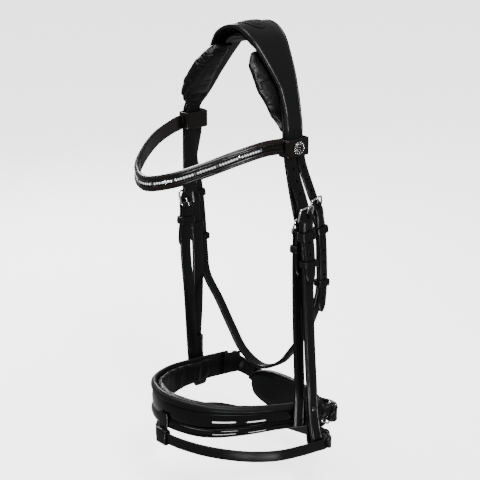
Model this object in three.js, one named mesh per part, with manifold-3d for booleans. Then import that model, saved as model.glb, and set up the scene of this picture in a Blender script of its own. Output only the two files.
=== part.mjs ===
// Snaffle bridle, full size: padded headpiece, browband with crystals, two cheekpieces, a throatlatch,
// and a padded crank noseband with a flash strap and a jaw pad.
// Millimetres. +Z is up, the horse faces -Y, and its left (near) side is +X.
// The origin is the middle of the flat underside of the poll pad, where the bridle rests on the head.
import * as THREE from 'three';
import { mergeVertices } from 'three/addons/utils/BufferGeometryUtils.js';
import Module from 'manifold-3d';

const wasm = await Module();
wasm.setup();

// ---------------------------------------------------------------- driving dimensions
const GAP = 0.35;                 // clearance between touching pieces
const LEATHER = 3.2;              // thickness of the billets and narrow straps
const STRAP = 4;                  // thickness of the doubled straps
const CHEEK_WIDTH = 15;
const HANGER_WIDTH = 15;
const THROAT_WIDTH = 11.5;
const FLASH_WIDTH = 13;
const JAW_STRAP_WIDTH = 20;
const WIRE = 2.3;                 // buckle wire
const BUCKLE_HEIGHT = 16;         // from the bar to the top side of a buckle
const KEEPER_WALL = 1.8;

const LOOP_Z = -112;              // middle of the browband loops, where the side straps fan out
const LOOP_HEIGHT = 20;
const LOOP_WALL = 1.8;
const LOOP_DEPTH = 12.5;          // room for the stack of straps inside a loop
const LOOP_FRONT_Y = -12.8;
const LOOP_REAR_Y = 17.2;
const LOOP_MIDDLE_OUT = 89.3;
const BROW_HEIGHT = 17;
const ROSETTE_Y = 2;

const NOSE_FRONT_Y = -112;
const NOSE_FRONT_Z = -405.5;      // top edge of the noseband at the front of the nose
const NOSE_HEIGHT = 43;
const NOSE_END_HEIGHT = 31;
const NOSE_SLOPE = -0.14;         // the noseband drops towards the jaw, per mm of Y
const SHELL = 2.5;                // half the thickness of the noseband's leather
const NOSE_PAD = 9;

// ---------------------------------------------------------------- materials
const material = (color, roughness, metalness = 0) =>
  new THREE.MeshStandardMaterial({ color, roughness, metalness });
const leather = material(0x17171a, 0.45);
const softLeather = material(0x1c1c1f, 0.6);
const patent = material(0x08080a, 0.08);
const steel = material(0xb9babd, 0.25, 1);
const crystal = material(0xe4e9ee, 0.05);

const bridle = new THREE.Group();
const SIDES = [[1, 'left'], [-1, 'right']];

// ---------------------------------------------------------------- shape helpers
const vec = (x, y, z) => new THREE.Vector3(x, y, z);
const Y_AXIS = vec(0, 1, 0);
const Z_AXIS = vec(0, 0, 1);

function toManifold(geometry) {
  const bare = geometry.index ? geometry.clone() : geometry;
  bare.deleteAttribute('normal');
  bare.deleteAttribute('uv');
  const merged = mergeVertices(bare, 1e-4);
  return new wasm.Manifold(new wasm.Mesh({
    numProp: 3,
    vertProperties: merged.attributes.position.array,
    triVerts: new Uint32Array(merged.index.array),
  }));
}

function toGeometry(manifold) {
  const mesh = manifold.getMesh();
  const geometry = new THREE.BufferGeometry();
  geometry.setAttribute('position', new THREE.BufferAttribute(mesh.vertProperties, 3));
  geometry.setIndex(new THREE.BufferAttribute(mesh.triVerts, 1));
  return geometry;
}

const join = (...parts) => toGeometry(parts.map(toManifold).reduce((a, b) => a.add(b)));
const cut = (base, ...tools) =>
  toGeometry(tools.map(toManifold).reduce((a, b) => a.subtract(b), toManifold(base)));

function add(name, geometry, mat) {
  const mesh = new THREE.Mesh(geometry, mat);
  mesh.name = name;
  bridle.add(mesh);
}

// A closed body swept along a smooth line. widthAxis gives the direction of the section's u, and v is square
// to it and to the line. sectionAt(t) lists the section's corners [u, v].
function sweep(points, widthAxis, steps, sectionAt, from = 0, to = 1) {
  const line = new THREE.CatmullRomCurve3(points, false, 'centripetal');
  const rings = [];
  for (let i = 0; i <= steps; i++) {
    const t = from + ((to - from) * i) / steps;
    const centre = line.getPointAt(t);
    const along = line.getTangentAt(t);
    const out = along.clone().cross(widthAxis).normalize();
    const across = out.clone().cross(along).normalize();
    rings.push(sectionAt(t).map(([u, v]) =>
      centre.clone().addScaledVector(across, u).addScaledVector(out, v)));
  }
  const flat = sectionAt(from).map(([u, v]) => new THREE.Vector2(u, v));
  return skin(rings, THREE.ShapeUtils.triangulateShape(flat, []));
}

// Joins rings of corners into one closed body; cap lists the triangles that close its ends.
function skin(rings, cap) {
  const corners = rings[0].length;
  const position = rings.flat().flatMap((p) => [p.x, p.y, p.z]);
  const index = [];
  for (let i = 0; i + 1 < rings.length; i++) {
    for (let j = 0; j < corners; j++) {
      const a = i * corners + j;
      const b = i * corners + (j + 1) % corners;
      index.push(a, b, a + corners, b, b + corners, a + corners);
    }
  }
  const last = (rings.length - 1) * corners;
  for (const [a, b, c] of cap) {
    index.push(a, c, b, last + a, last + b, last + c);
  }
  return facingOut(position, index);
}

function facingOut(position, index) {
  let volume = 0;
  const corner = (i) => vec(...position.slice(3 * i, 3 * i + 3));
  for (let i = 0; i < index.length; i += 3) {
    const [a, b, c] = [index[i], index[i + 1], index[i + 2]].map(corner);
    volume += a.dot(b.cross(c));
  }
  if (volume < 0) {
    for (let i = 0; i < index.length; i += 3) {
      [index[i + 1], index[i + 2]] = [index[i + 2], index[i + 1]];
    }
  }
  const geometry = new THREE.BufferGeometry();
  geometry.setAttribute('position', new THREE.Float32BufferAttribute(position, 3));
  geometry.setIndex(index);
  return geometry;
}

const flatSection = (width, thickness) => [
  [-width / 2, -thickness / 2], [width / 2, -thickness / 2],
  [width / 2, thickness / 2], [-width / 2, thickness / 2],
];

// A rounded section with ten corners: flat back, crowned front.
function padSection(width, thickness) {
  const section = [];
  for (let i = 0; i < 10; i++) {
    const angle = (2 * Math.PI * i) / 10;
    const u = Math.sign(Math.cos(angle)) * Math.abs(Math.cos(angle)) ** 0.6;
    const v = Math.sign(Math.sin(angle)) * Math.abs(Math.sin(angle)) ** 0.6;
    section.push([(u * width) / 2, (v * thickness) / 2]);
  }
  return section;
}

// A flat strap; its last tip millimetres narrow to a point at the end, as a billet does.
function strap(points, widthAxis, width, thickness, steps, tip = 0) {
  const length = new THREE.CatmullRomCurve3(points, false, 'centripetal').getLength();
  return sweep(points, widthAxis, steps, (t) => {
    const left = length * (1 - t);
    const narrow = tip && left < tip ? 0.45 + (0.55 * left) / tip : 1;
    return flatSection(width * narrow, thickness);
  });
}

// Reads a list of [z, value] pairs, running downwards, at height z.
function read(pairs, z) {
  if (z >= pairs[0][0]) return pairs[0][1];
  for (let i = 0; i + 1 < pairs.length; i++) {
    const [z0, a] = pairs[i];
    const [z1, b] = pairs[i + 1];
    if (z >= z1) return a + ((b - a) * (z - z0)) / (z1 - z0);
  }
  return pairs.at(-1)[1];
}

// A side strap's route runs downwards: [z, y, lean].
// The left strap lies lean behind y, and the right one as far before it.
function routeY(side, route, z) {
  const y = read(route.map(([height, place]) => [height, place]), z);
  const lean = read(route.map(([height, , amount]) => [height, amount]), z);
  return y + side * lean;
}

// A point on a side strap: out is the distance from the middle plane.
const onSide = (side, route, out, z) => vec(side * out, routeY(side, route, z), z);

// A placement on a side strap: local x points outwards, y across the strap, z up the strap.
function sidePlace(side, route, out, z) {
  const up = onSide(side, route, out, z + 8).sub(onSide(side, route, out, z - 8)).normalize();
  const outward = vec(side, 0, 0);
  const across = up.clone().cross(outward);
  return new THREE.Matrix4().makeBasis(outward, across, up).setPosition(onSide(side, route, out, z));
}

// A block with its middle at (x, y, z), in the local directions of a placement.
const block = (sx, sy, sz, x, y, z) => new THREE.BoxGeometry(sx, sy, sz).translate(x, y, z);

// A cylinder whose axis is the local y.
const pinAlongY = (radius, length, x, z, sides = 16) =>
  new THREE.CylinderGeometry(radius, radius, length, sides).translate(x, 0, z);

// ---------------------------------------------------------------- buckles and keepers
const EYE_HOLE = 2.3;             // the strap's eye round the buckle bar
const EYE_WALL = 1.7;
const TONGUE = 2.4;
const TONGUE_EYE_HOLE = 1.9;
const FRAME_OUT = 5.6;            // how far the top side of a buckle stands out from its bar
const BILLET_OUT = EYE_HOLE + EYE_WALL + GAP + LEATHER / 2;   // billet over the bar
const BILLET_ON_STRAP = STRAP / 2 + 2 * GAP + LEATHER / 2;        // billet lying on its strap
const BILLET_UNDER_FRAME = 1.2;   // billet behind the top side of the buckle

// The wire frame: a bar at the local origin, two sides and a top side that stands outwards.
function buckleFrame(strapWidth) {
  const inner = strapWidth / 2 + 1.1;
  const tall = Math.hypot(BUCKLE_HEIGHT, FRAME_OUT);
  const outline = new THREE.Shape();
  const [w, low, high] = [inner + WIRE, -WIRE / 2, tall + WIRE / 2];
  outline.moveTo(-w + 1, low).lineTo(w - 1, low).lineTo(w, low + 1).lineTo(w, high - 2);
  outline.lineTo(w - 2, high).lineTo(-w + 2, high).lineTo(-w, high - 2).lineTo(-w, low + 1);
  const window = new THREE.Path();
  window.moveTo(-inner, low + WIRE).lineTo(-inner, high - WIRE);
  window.lineTo(inner, high - WIRE).lineTo(inner, low + WIRE);
  outline.holes.push(window);
  return new THREE.ExtrudeGeometry(outline, { depth: WIRE, bevelEnabled: false })
    .translate(0, 0, -WIRE / 2)
    .applyMatrix4(new THREE.Matrix4().makeBasis(vec(0, 1, 0), vec(0, 0, 1), vec(1, 0, 0)))
    .rotateY(Math.atan2(FRAME_OUT, BUCKLE_HEIGHT));
}

// The tongue: an eye on the bar and a straight pin that lies on the top side of the frame.
function buckleTongue() {
  const tall = Math.hypot(BUCKLE_HEIGHT, FRAME_OUT);
  const rise = WIRE / 2 + GAP + TONGUE / 2;
  const pinLength = tall + WIRE + 1;
  const pin = block(TONGUE, TONGUE, pinLength - 2.6, 0, 0, (pinLength + 2.6) / 2);
  const tilt = Math.atan2(FRAME_OUT, BUCKLE_HEIGHT) + Math.asin(rise / tall);
  const eye = pinAlongY(TONGUE_EYE_HOLE + 1.2, TONGUE, 0, 0);
  return cut(join(eye, pin.rotateY(tilt)), pinAlongY(TONGUE_EYE_HOLE, 10, 0, 0));
}

// The strap end that wraps the bar, joined to its strap, with a slot for the tongue's eye.
function withBarEye(strapGeometry, place, width) {
  const eye = pinAlongY(EYE_HOLE + EYE_WALL, width, 0, 0).applyMatrix4(place);
  const bore = pinAlongY(EYE_HOLE, width + 4, 0, 0).applyMatrix4(place);
  const slot = block(14, TONGUE + 1.6, 9, 0, 0, 1.2).applyMatrix4(place);
  return cut(join(strapGeometry, eye), bore, slot);
}

// An oblong hole in a billet, long enough for the tongue to lift out of it.
const tongueSlot = (place) => block(16, TONGUE + 1.8, 17, 4, 0, 8.5).applyMatrix4(place);

// A leather keeper round a stack of straps: inside measures and the stack's middle, in the local directions.
function keeper(width, depth, height, middle) {
  const [w, d] = [width / 2 + GAP + 0.5, depth / 2 + GAP];
  const rectangle = (x, y, Kind) => new Kind().moveTo(-x, -y).lineTo(x, -y).lineTo(x, y).lineTo(-x, y);
  const outline = rectangle(d + KEEPER_WALL, w + KEEPER_WALL, THREE.Shape);
  outline.holes.push(rectangle(d, w, THREE.Path));
  return new THREE.ExtrudeGeometry(outline, { depth: height, bevelEnabled: false })
    .translate(middle, 0, -height / 2);
}

// ---------------------------------------------------------------- headpiece
// Left half of the arch over the poll, from the loop to the top: [out, y, z, width].
const ARCH = [
  [92, 0.2, -110.6, 23.4],
  [89.5, 1.6, -95, 24],
  [80, 8, -78, 24],
  [66, 13.5, -52, 28],
  [48, 14.7, -24, 41],
  [27, 15, 1, 53],
  [0, 17, 10.5, 56],
];
const CROWN_THICKNESS = 4;
const POLL_PAD_THICKNESS = 5.2;
const SIDE_PAD_THICKNESS = 10;
const SLIPHEAD_MIDDLE = 5.2;       // below the crown's middle
const UNDER_SLIPHEAD = SLIPHEAD_MIDDLE + LEATHER / 2 + 0.5;
const PATCH = { share: 0.062, width: 25, thickness: 1.5 };   // the oval patch on the poll
const SLIPHEAD_END_Z = LOOP_Z + 2;
const PAD_REAR_Y = 32;
const PAD_FRONT_Y = { left: -14, right: -33 };   // the side pads show in front of the crown
const POLL_PAD_SHARE = 0.375;     // the poll pad starts this share of the way along the crown
const SIDE_PAD_START = 0.085;
const SLIPHEAD_FORWARD = 4.2;     // the noseband's strap runs this far before the crown's middle at its ends

const archHalf = (side) => ARCH.map(([out, y, z]) => vec(side * out, y, z));
const CROWN_LINE = [...archHalf(1), ...archHalf(-1).reverse().slice(1)];
const crownCurve = new THREE.CatmullRomCurve3(CROWN_LINE, false, 'centripetal');
const CROWN_WIDTHS = [...ARCH].reverse().map(([, , z, width]) => [z, width]);
const crownWidth = (t) => read(CROWN_WIDTHS, crownCurve.getPointAt(t).z);

// A layer that follows the crown; sectionAt lists its corners, with v measured inwards from the crown's middle.
const crownLayer = (steps, sectionAt, from, to) => sweep(CROWN_LINE, Y_AXIS, steps, sectionAt, from, to);

// The point that lies u behind and v inside the crown's middle line.
function onCrown(t, u, v) {
  const along = crownCurve.getTangentAt(t);
  const inwards = along.clone().cross(Y_AXIS).normalize();
  const rear = inwards.clone().cross(along).normalize();
  return crownCurve.getPointAt(t).addScaledVector(rear, u).addScaledVector(inwards, v);
}

function sidePad(hand, from, to) {
  return crownLayer(16, (t) => {
    const plump = Math.sin((Math.PI * (t - from)) / (to - from)) ** 0.5 * 0.5 + 0.5;
    const thickness = SIDE_PAD_THICKNESS * plump;
    const [front, rear] = [PAD_FRONT_Y[hand], PAD_REAR_Y].map((y) => y - crownCurve.getPointAt(t).y);
    const width = (rear - front) * (0.45 + 0.55 * plump);
    const [aside, inwards] = [(front + rear) / 2, UNDER_SLIPHEAD + thickness / 2];
    return padSection(width, thickness).map(([u, v]) => [u + aside, v + inwards]);
  }, from, to);
}

function headpiece() {
  add('headpiece_strap', crownLayer(44, (t) => flatSection(crownWidth(t), CROWN_THICKNESS)), leather);
  const pollSection = (t) => flatSection(crownWidth(t) - 14, POLL_PAD_THICKNESS)
    .map(([u, v]) => [u + 2.5, v + UNDER_SLIPHEAD + POLL_PAD_THICKNESS / 2]);
  const seat = block(14, 80, 10, 0, 17, -5);
  add('poll_pad', cut(crownLayer(22, pollSection, POLL_PAD_SHARE, 1 - POLL_PAD_SHARE), seat), softLeather);
  const padEnd = POLL_PAD_SHARE - 0.008;
  add('side_pad_left', sidePad('left', SIDE_PAD_START, padEnd), softLeather);
  add('side_pad_right', sidePad('right', 1 - padEnd, 1 - SIDE_PAD_START), softLeather);
  const oval = (t) => flatSection(
    PATCH.width * Math.sqrt(Math.max(0.03, 1 - ((t - 0.5) / PATCH.share) ** 2)), PATCH.thickness)
    .map(([u, v]) => [u, v - CROWN_THICKNESS / 2 - GAP - PATCH.thickness / 2]);
  add('poll_patch', crownLayer(16, oval, 0.5 - PATCH.share, 0.5 + PATCH.share), leather);
  // The noseband's strap runs over the poll between the crown and its pads.
  const line = Array.from({ length: 41 }, (_, i) => {
    const t = 0.002 + (0.996 * i) / 40;
    return onCrown(t, -SLIPHEAD_FORWARD * Math.abs(2 * t - 1) ** 0.7, SLIPHEAD_MIDDLE);
  });
  add('noseband_sliphead', strap(line, Y_AXIS, HANGER_WIDTH, LEATHER, 44), leather);
}

// ---------------------------------------------------------------- browband
// It hangs a little lower on the right.
const BROW_LINE = [
  [-90, LOOP_FRONT_Y - LOOP_WALL - 1.6, -113.5], [-83.5, -36, -115.5], [-74, -64, -122], [-57.5, -95, -134],
  [-33, -122, -145], [0, -135, -148.5], [33, -123, -140.5], [59, -95, -127.5], [76, -64, -116],
  [85.5, -36, -109.5], [90.5, LOOP_FRONT_Y - LOOP_WALL - 1.6, -108.5],
].map((p) => vec(...p));
const CHANNEL = 2.6;              // half the width of the crystal channel
const BROW_SECTION = [
  [-BROW_HEIGHT / 2, -2], [BROW_HEIGHT / 2, -2], [BROW_HEIGHT / 2, 1.5], [7, 3.4], [3.6, 2.6], [CHANNEL, 0.2],
  [-CHANNEL, 0.2], [-3.6, 2.6], [-7, 3.4], [-BROW_HEIGHT / 2, 1.5],
];
const ROSETTE = [[0, 0], [7.4, 0], [7.4, 0.8], [6.4, 2], [4, 3], [0, 3.4]];    // [radius, height]
const CRYSTAL_SECTION = [[-1.9, 0.6], [1.9, 0.6], [1.9, 2.2], [1, 3.1], [-1, 3.1], [-1.9, 2.2]];

function browband() {
  add('browband_strap', sweep(BROW_LINE, Z_AXIS, 40, () => BROW_SECTION), leather);
  add('crystal_strip', sweep(BROW_LINE, Z_AXIS, 30, () => CRYSTAL_SECTION, 0.075, 0.925), crystal);
  for (const [side, hand] of SIDES) {
    const [low, high] = [LOOP_MIDDLE_OUT - LOOP_DEPTH / 2, LOOP_MIDDLE_OUT + LOOP_DEPTH / 2];
    const ring = (wall, Kind) => {
      const [x0, x1, y0, y1] = [low - wall, high + wall, LOOP_FRONT_Y - wall, LOOP_REAR_Y + wall];
      return new Kind().moveTo(x0, y0).lineTo(x1 - wall, y0).lineTo(x1, y0 + wall).lineTo(x1, y1 - 1.6 * wall)
        .lineTo(x1 - 1.6 * wall, y1).lineTo(x0, y1);
    };
    const outline = ring(LOOP_WALL, THREE.Shape);
    outline.holes.push(ring(0, THREE.Path));
    const loop = new THREE.ExtrudeGeometry(outline, { depth: LOOP_HEIGHT, bevelEnabled: false })
      .translate(0, 0, LOOP_Z - LOOP_HEIGHT / 2);
    if (side < 0) loop.rotateZ(Math.PI).translate(0, LOOP_FRONT_Y + LOOP_REAR_Y, 0);
    add(`browband_loop_${hand}`, loop, leather);
    const face = high + LOOP_WALL + GAP;
    const profile = ROSETTE.map(([r, h]) => new THREE.Vector2(r, h));
    const rosette = new THREE.LatheGeometry(profile, 24).rotateZ(-Math.PI / 2).translate(face, 0, 0);
    if (side < 0) rosette.rotateZ(Math.PI);
    add(`rosette_${hand}`, rosette.translate(0, ROSETTE_Y, LOOP_Z), steel);
  }
}

// ---------------------------------------------------------------- side straps
const HANGER_ROUTE = [
  [-104, -4, 0], [-130, -3, 2], [-165, 1, 10], [-200, 2.5, 14.5],
  [-270, -1, 16], [-350, 3.5, 8.5], [-420, 6, 2],
];
const CHEEK_ROUTE = [
  [-104, -4, 0], [-130, -4, 0], [-190, 6.6, 5], [-247, 14.5, 3],
  [-320, 17.5, 1.5], [-423, 18, 3], [-486, 26, 5],
];
const THROAT_ROUTE = [
  [-104, 10.5, 0], [-130, 10.5, 0], [-190, 26.4, 5], [-215, 32, 5.5],
  [-275, 35.8, 5], [-320, 33, 4.5], [-420, 36, 5],
];
const BILLET_TOP = LOOP_Z - 1.2;  // the swinging billets start here, inside the loops
const BILLET_LAYER = 92;
const HANGER_LAYER = 86.5;

const BIT_LOOP_Z = { left: -482, right: -466 };    // the right cheekpiece is buckled shorter
const BIT_SEAT_WIDTH = 2.4;       // the flat at the bottom of a bit loop
const HANGER_BAR = { out: 82.7, z: -214 };
const HANGER_END_Z = { left: -448, right: -432.5 };
const CHEEK_BAR = { out: 97.5, z: -197 };
// The right throatlatch billet lies over the cheekpiece's buckle, so it stands further out.
const THROAT_BAR = { left: { out: 95.5, z: -189 }, right: { out: 108.5, z: -189 } };

// The line of a billet from its top, under the buckle's top side, over its bar and down its strap.
function billetLine(side, route, top, bar, strapOut, tipZ) {
  const points = [
    [top, BILLET_TOP],
    [top + 0.2, BILLET_TOP - 14],
    [bar.out + BILLET_UNDER_FRAME - 1, bar.z + BUCKLE_HEIGHT + 9],
    [bar.out + BILLET_UNDER_FRAME, bar.z + BUCKLE_HEIGHT + 1],
    [bar.out + BILLET_OUT - 0.6, bar.z + 5],
    [bar.out + BILLET_OUT, bar.z],
    [bar.out + BILLET_OUT - 0.9, bar.z - 6],
    [read(strapOut, bar.z - 18) + BILLET_ON_STRAP, bar.z - 18],
  ];
  for (let z = bar.z - 40; z > tipZ + 12; z -= 25) {
    points.push([read(strapOut, z) + BILLET_ON_STRAP, z]);
  }
  points.push([read(strapOut, tipZ) + BILLET_ON_STRAP, tipZ]);
  return points.map(([out, z]) => onSide(side, route, out, z));
}

const HANGER_OUT = [[-214, 82.7], [-262, 84], [-330, 89], [-385, 95], [-405, 97]];
const CHEEK_OUT = [[-197, 97.5], [-250, 98.2], [-300, 99.5], [-360, 102.5], [-405, 105.7], [-436, 105.8]];
const THROAT_RUNNER_Z = { left: -277, right: -270 };
const THROAT_LOW_Z = -412;
const THROAT_OUT = {
  left: [[-189, 95.5], [-215, 95.8], [-250, 96.2], [-285, 95.8]],
  right: [[-189, 108.5], [-215, 110], [-250, 108.9], [-290, 106.5]],
};

// One buckled joint on a side strap: frame, tongue, and the keepers below it.
function sideBuckle(name, hand, side, route, bar, width, keepers) {
  const place = sidePlace(side, route, bar.out, bar.z);
  add(`${name}_buckle_${hand}`, buckleFrame(width).applyMatrix4(place), steel);
  add(`${name}_tongue_${hand}`, buckleTongue().applyMatrix4(place), steel);
  for (const [label, z, height, strapOut] of keepers) {
    const stack = STRAP + 2 * GAP + LEATHER;
    const ring = keeper(width, stack, height, GAP + LEATHER / 2);
    add(`${name}_${label}_${hand}`, ring.applyMatrix4(sidePlace(side, route, read(strapOut, z), z)), leather);
  }
  return place;
}

function cheekpiece(side, hand) {
  const place = sideBuckle('cheek', hand, side, CHEEK_ROUTE, CHEEK_BAR, CHEEK_WIDTH,
    [['keeper', -215, 11, CHEEK_OUT], ['runner', -249, 8, CHEEK_OUT]]);
  const billet = strap(billetLine(side, CHEEK_ROUTE, BILLET_LAYER, CHEEK_BAR, CHEEK_OUT, -272), Y_AXIS,
    CHEEK_WIDTH, LEATHER, 34, 14);
  add(`cheek_billet_${hand}`, cut(billet, tongueSlot(place)), leather);
  // Down the outside, round the bit loop and back up the inside.
  const end = BIT_LOOP_Z[hand];
  const line = [
    [CHEEK_BAR.out, CHEEK_BAR.z - 3], ...CHEEK_OUT.slice(1).map(([z, out]) => [out, z]),
    [106.5, end + 26], [107.8, end + 14], [107.4, end + 5.5], [103.4, end], [99.4, end + 5.5], [98.8, end + 14],
    [100.2, end + 26], [101.3, end + 42], [101.3, end + 68],
  ];
  const points = line.map(([out, z]) => onSide(side, CHEEK_ROUTE, out, z));
  const body = strap(points, Y_AXIS, CHEEK_WIDTH, STRAP, 60);
  const bottom = onSide(side, CHEEK_ROUTE, 103.4, end + STRAP / 2);
  const bitSeat = block(BIT_SEAT_WIDTH, CHEEK_WIDTH + 6, 1.4, bottom.x, bottom.y, bottom.z + 0.5);
  add(`cheek_strap_${hand}`, cut(withBarEye(body, place, CHEEK_WIDTH), bitSeat), leather);
  const stud = new THREE.CylinderGeometry(1.6, 3, 1.6, 16).rotateZ(-side * Math.PI / 2);
  const face = onSide(side, CHEEK_ROUTE, 105.8 + STRAP / 2 + GAP + 0.9, -428);
  add(`bit_hook_${hand}`, stud.translate(face.x, face.y, face.z), steel);
}

function hanger(side, hand) {
  const place = sideBuckle('hanger', hand, side, HANGER_ROUTE, HANGER_BAR, HANGER_WIDTH,
    [['keeper', -234, 9, HANGER_OUT]]);
  const billet = strap(billetLine(side, HANGER_ROUTE, HANGER_LAYER, HANGER_BAR, HANGER_OUT, -268), Y_AXIS,
    HANGER_WIDTH, LEATHER, 34, 14);
  add(`hanger_billet_${hand}`, cut(billet, tongueSlot(place)), leather);
  const line = [[HANGER_BAR.out, HANGER_BAR.z - 3], ...HANGER_OUT.slice(1).map(([z, out]) => [out, z]),
    [97.2, HANGER_END_Z[hand]]];
  const points = line.map(([out, z]) => onSide(side, HANGER_ROUTE, out, z));
  const body = strap(points, Y_AXIS, HANGER_WIDTH, STRAP - 1, 24);
  add(`hanger_strap_${hand}`, withBarEye(body, place, HANGER_WIDTH), leather);
}

// ---------------------------------------------------------------- throatlatch
function throatlatch() {
  const places = [];
  const halves = SIDES.map(([side, hand]) => {
    const [bar, outs] = [THROAT_BAR[hand], THROAT_OUT[hand]];
    const place = sideBuckle('throat', hand, side, THROAT_ROUTE, bar, THROAT_WIDTH,
      [['keeper', -213, 9, outs], ['runner', THROAT_RUNNER_Z[hand], 8, outs]]);
    places.push(place);
    const billet = strap(billetLine(side, THROAT_ROUTE, BILLET_LAYER, bar, outs, -312), Y_AXIS,
      THROAT_WIDTH, LEATHER, 36, 14);
    add(`throat_billet_${hand}`, cut(billet, tongueSlot(place)), leather);
    const rest = [[-316, outs.at(-1)[1] - 6.5], [-345, 74.5], [-374, 52], [-399, 29]];
    const all = [[bar.z - 3, bar.out], ...outs.slice(1), ...rest];
    return all.map(([z, out]) => onSide(side, THROAT_ROUTE, out, z));
  });
  const [left, right] = halves;
  const lowest = vec(0, (left.at(-1).y + right.at(-1).y) / 2, THROAT_LOW_Z);
  let body = strap([...left, lowest, ...right.reverse()], Y_AXIS, THROAT_WIDTH, STRAP, 72);
  for (const place of places) {
    body = withBarEye(body, place, THROAT_WIDTH);
  }
  add('throatlatch_strap', body, leather);
}

// ---------------------------------------------------------------- noseband, flash strap and jaw piece
const noseTop = (y) => NOSE_FRONT_Z + NOSE_SLOPE * (y - NOSE_FRONT_Y);
const NOSE_LINE = [
  [-97.6, 60], [-95, 40], [-89.5, 0], [-77, -52], [-48, -94],
  [0, NOSE_FRONT_Y], [48, -94], [77, -52], [89.5, 0], [95, 46],
].map(([x, y]) => vec(x, y, noseTop(y)));
const NOSE_STEPS = 48;
const FLAP = [[-91.8, 49], [-93.3, 62], [-94, 77]];    // the leather end that lies inside the right crank ring

// The height of the noseband at a share t of its length: full over the nose, low at both ends.
const noseHeight = (t) => NOSE_HEIGHT
  - (NOSE_HEIGHT - NOSE_END_HEIGHT) * THREE.MathUtils.smoothstep(Math.abs(t - 0.5), 0.1, 0.38);

// The leather: two rolls with the smooth panel between them, hanging from its top edge.
function shellSection(t) {
  const half = noseHeight(t) / 2;
  const [roll, panel] = [half * 0.56, half * 0.44];
  return [
    [-half, -SHELL], [half, -SHELL], [half, 0.6], [half - 3, 3.4], [roll, 3.4], [panel, 1.9],
    [-panel, 1.9], [-roll, 3.4], [-half + 3, 3.4], [-half, 0.6],
  ].map(([u, v]) => [u - half, v]);
}

// The two bars of each crank ring: one in the noseband's eye, the other in the jaw strap's eye.
const CRANK = {
  left: [vec(96.6, 52.5, -444), vec(97, 63, -449.5)],
  right: [vec(-99.6, 66.5, -446), vec(-100.8, 77.5, -451.5)],
};

// Local x runs from the front bar to the rear bar, y up the bars, z sideways.
function crankPlace(hand) {
  const [front, rear] = CRANK[hand];
  const direction = rear.clone().sub(front).normalize();
  const sideways = direction.clone().cross(Z_AXIS).normalize();
  return new THREE.Matrix4().makeBasis(direction, sideways.clone().cross(direction), sideways).setPosition(front);
}

function noseband() {
  const places = SIDES.map(([, hand]) => crankPlace(hand));
  const bodies = places.map((place) => block(18, 20, 6.8, -2.6, 0, 0).applyMatrix4(place));
  const bores = places.map((place) => block(7.8, 30, 3.8, 0.6, 0, 0).applyMatrix4(place));
  const shell = join(sweep(NOSE_LINE, Z_AXIS, NOSE_STEPS, shellSection), ...bodies);
  add('noseband_shell', cut(shell, ...bores), patent);
  const paddingSection = (t) => padSection(noseHeight(t) - 5, NOSE_PAD)
    .map(([u, v]) => [u - noseHeight(t) / 2, v - SHELL - 0.8 - NOSE_PAD / 2]);
  add('noseband_padding', sweep(NOSE_LINE, Z_AXIS, NOSE_STEPS - 6, paddingSection, 0.08, 0.97), softLeather);
  const flap = FLAP.map(([x, y]) => vec(x, y, noseTop(y) - NOSE_END_HEIGHT / 2));
  add('noseband_flap', strap(flap, Z_AXIS, NOSE_END_HEIGHT - 3, 2.2, 6), leather);
}

const FLASH_FRONT = vec(0, -118.4, -458);
const FLASH_LINE = [
  [86, 57.5, -483], [97.5, 51.3, -480], [107, 45.5, -478], [112.1, 36, -476], [112.6, 22, -474.5],
  [112.9, 0, -472.5], [110.3, -38, -468], [95, -71, -464], [62, -101, -460.5], [24, -116.4, -458.5],
  [0, -118.4, -458], [-12, -116.6, -458.5], [-28, -105, -461.5], [-58, -72, -469], [-78, -36, -479],
  [-87, 2, -490], [-86, 36, -499], [-70, 60, -506], [-38, 78, -509], [0, 84, -507],
];
// The billet's end, which lies on the strap behind its buckle.
const FLASH_TAIL = [[88.4, 61.5, -483], [99.8, 55.3, -480], [109.6, 48.5, -478], [115.8, 38, -476]];
const FLASH_BAR = vec(62, 69.5, -490);
const FLASH_UP = vec(-62, 12.5, -16).normalize();        // from the bar towards the billet
const FLASH_OUT = vec(12.5, 62, 0).normalize();

function flashStrap() {
  const across = FLASH_UP.clone().cross(FLASH_OUT).normalize();
  const place = new THREE.Matrix4().makeBasis(FLASH_OUT, across, FLASH_UP).setPosition(FLASH_BAR);
  const near = ([out, up]) => vec(out, 0, up).applyMatrix4(place);
  const overBar = [[BILLET_UNDER_FRAME, 17], [BILLET_OUT - 0.6, 5], [BILLET_OUT, 0], [BILLET_OUT - 0.6, -7]];
  const tail = FLASH_TAIL.map((p) => vec(...p));
  const line = [near([0, -3]), ...FLASH_LINE.map((p) => vec(...p)), ...overBar.map(near), ...tail];
  const body = strap(line, Z_AXIS, FLASH_WIDTH, LEATHER, 110, 12);
  add('flash_strap', cut(withBarEye(body, place, FLASH_WIDTH), tongueSlot(place)), leather);
  add('flash_buckle', buckleFrame(FLASH_WIDTH).applyMatrix4(place), steel);
  add('flash_tongue', buckleTongue().applyMatrix4(place), steel);
  const [rear, front] = FLASH_LINE.slice(0, 2).map((p) => vec(...p));
  const along = rear.clone().sub(front).normalize();
  const outward = vec(-along.y, along.x, 0).normalize().negate();
  const middle = rear.clone().addScaledVector(along, -2);
  const ring = keeper(FLASH_WIDTH, 2 * LEATHER + 2.2, 8, 2.1);
  add('flash_keeper', ring.applyMatrix4(new THREE.Matrix4()
    .makeBasis(outward, along.clone().cross(outward).normalize(), along).setPosition(middle)), leather);
}

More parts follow.
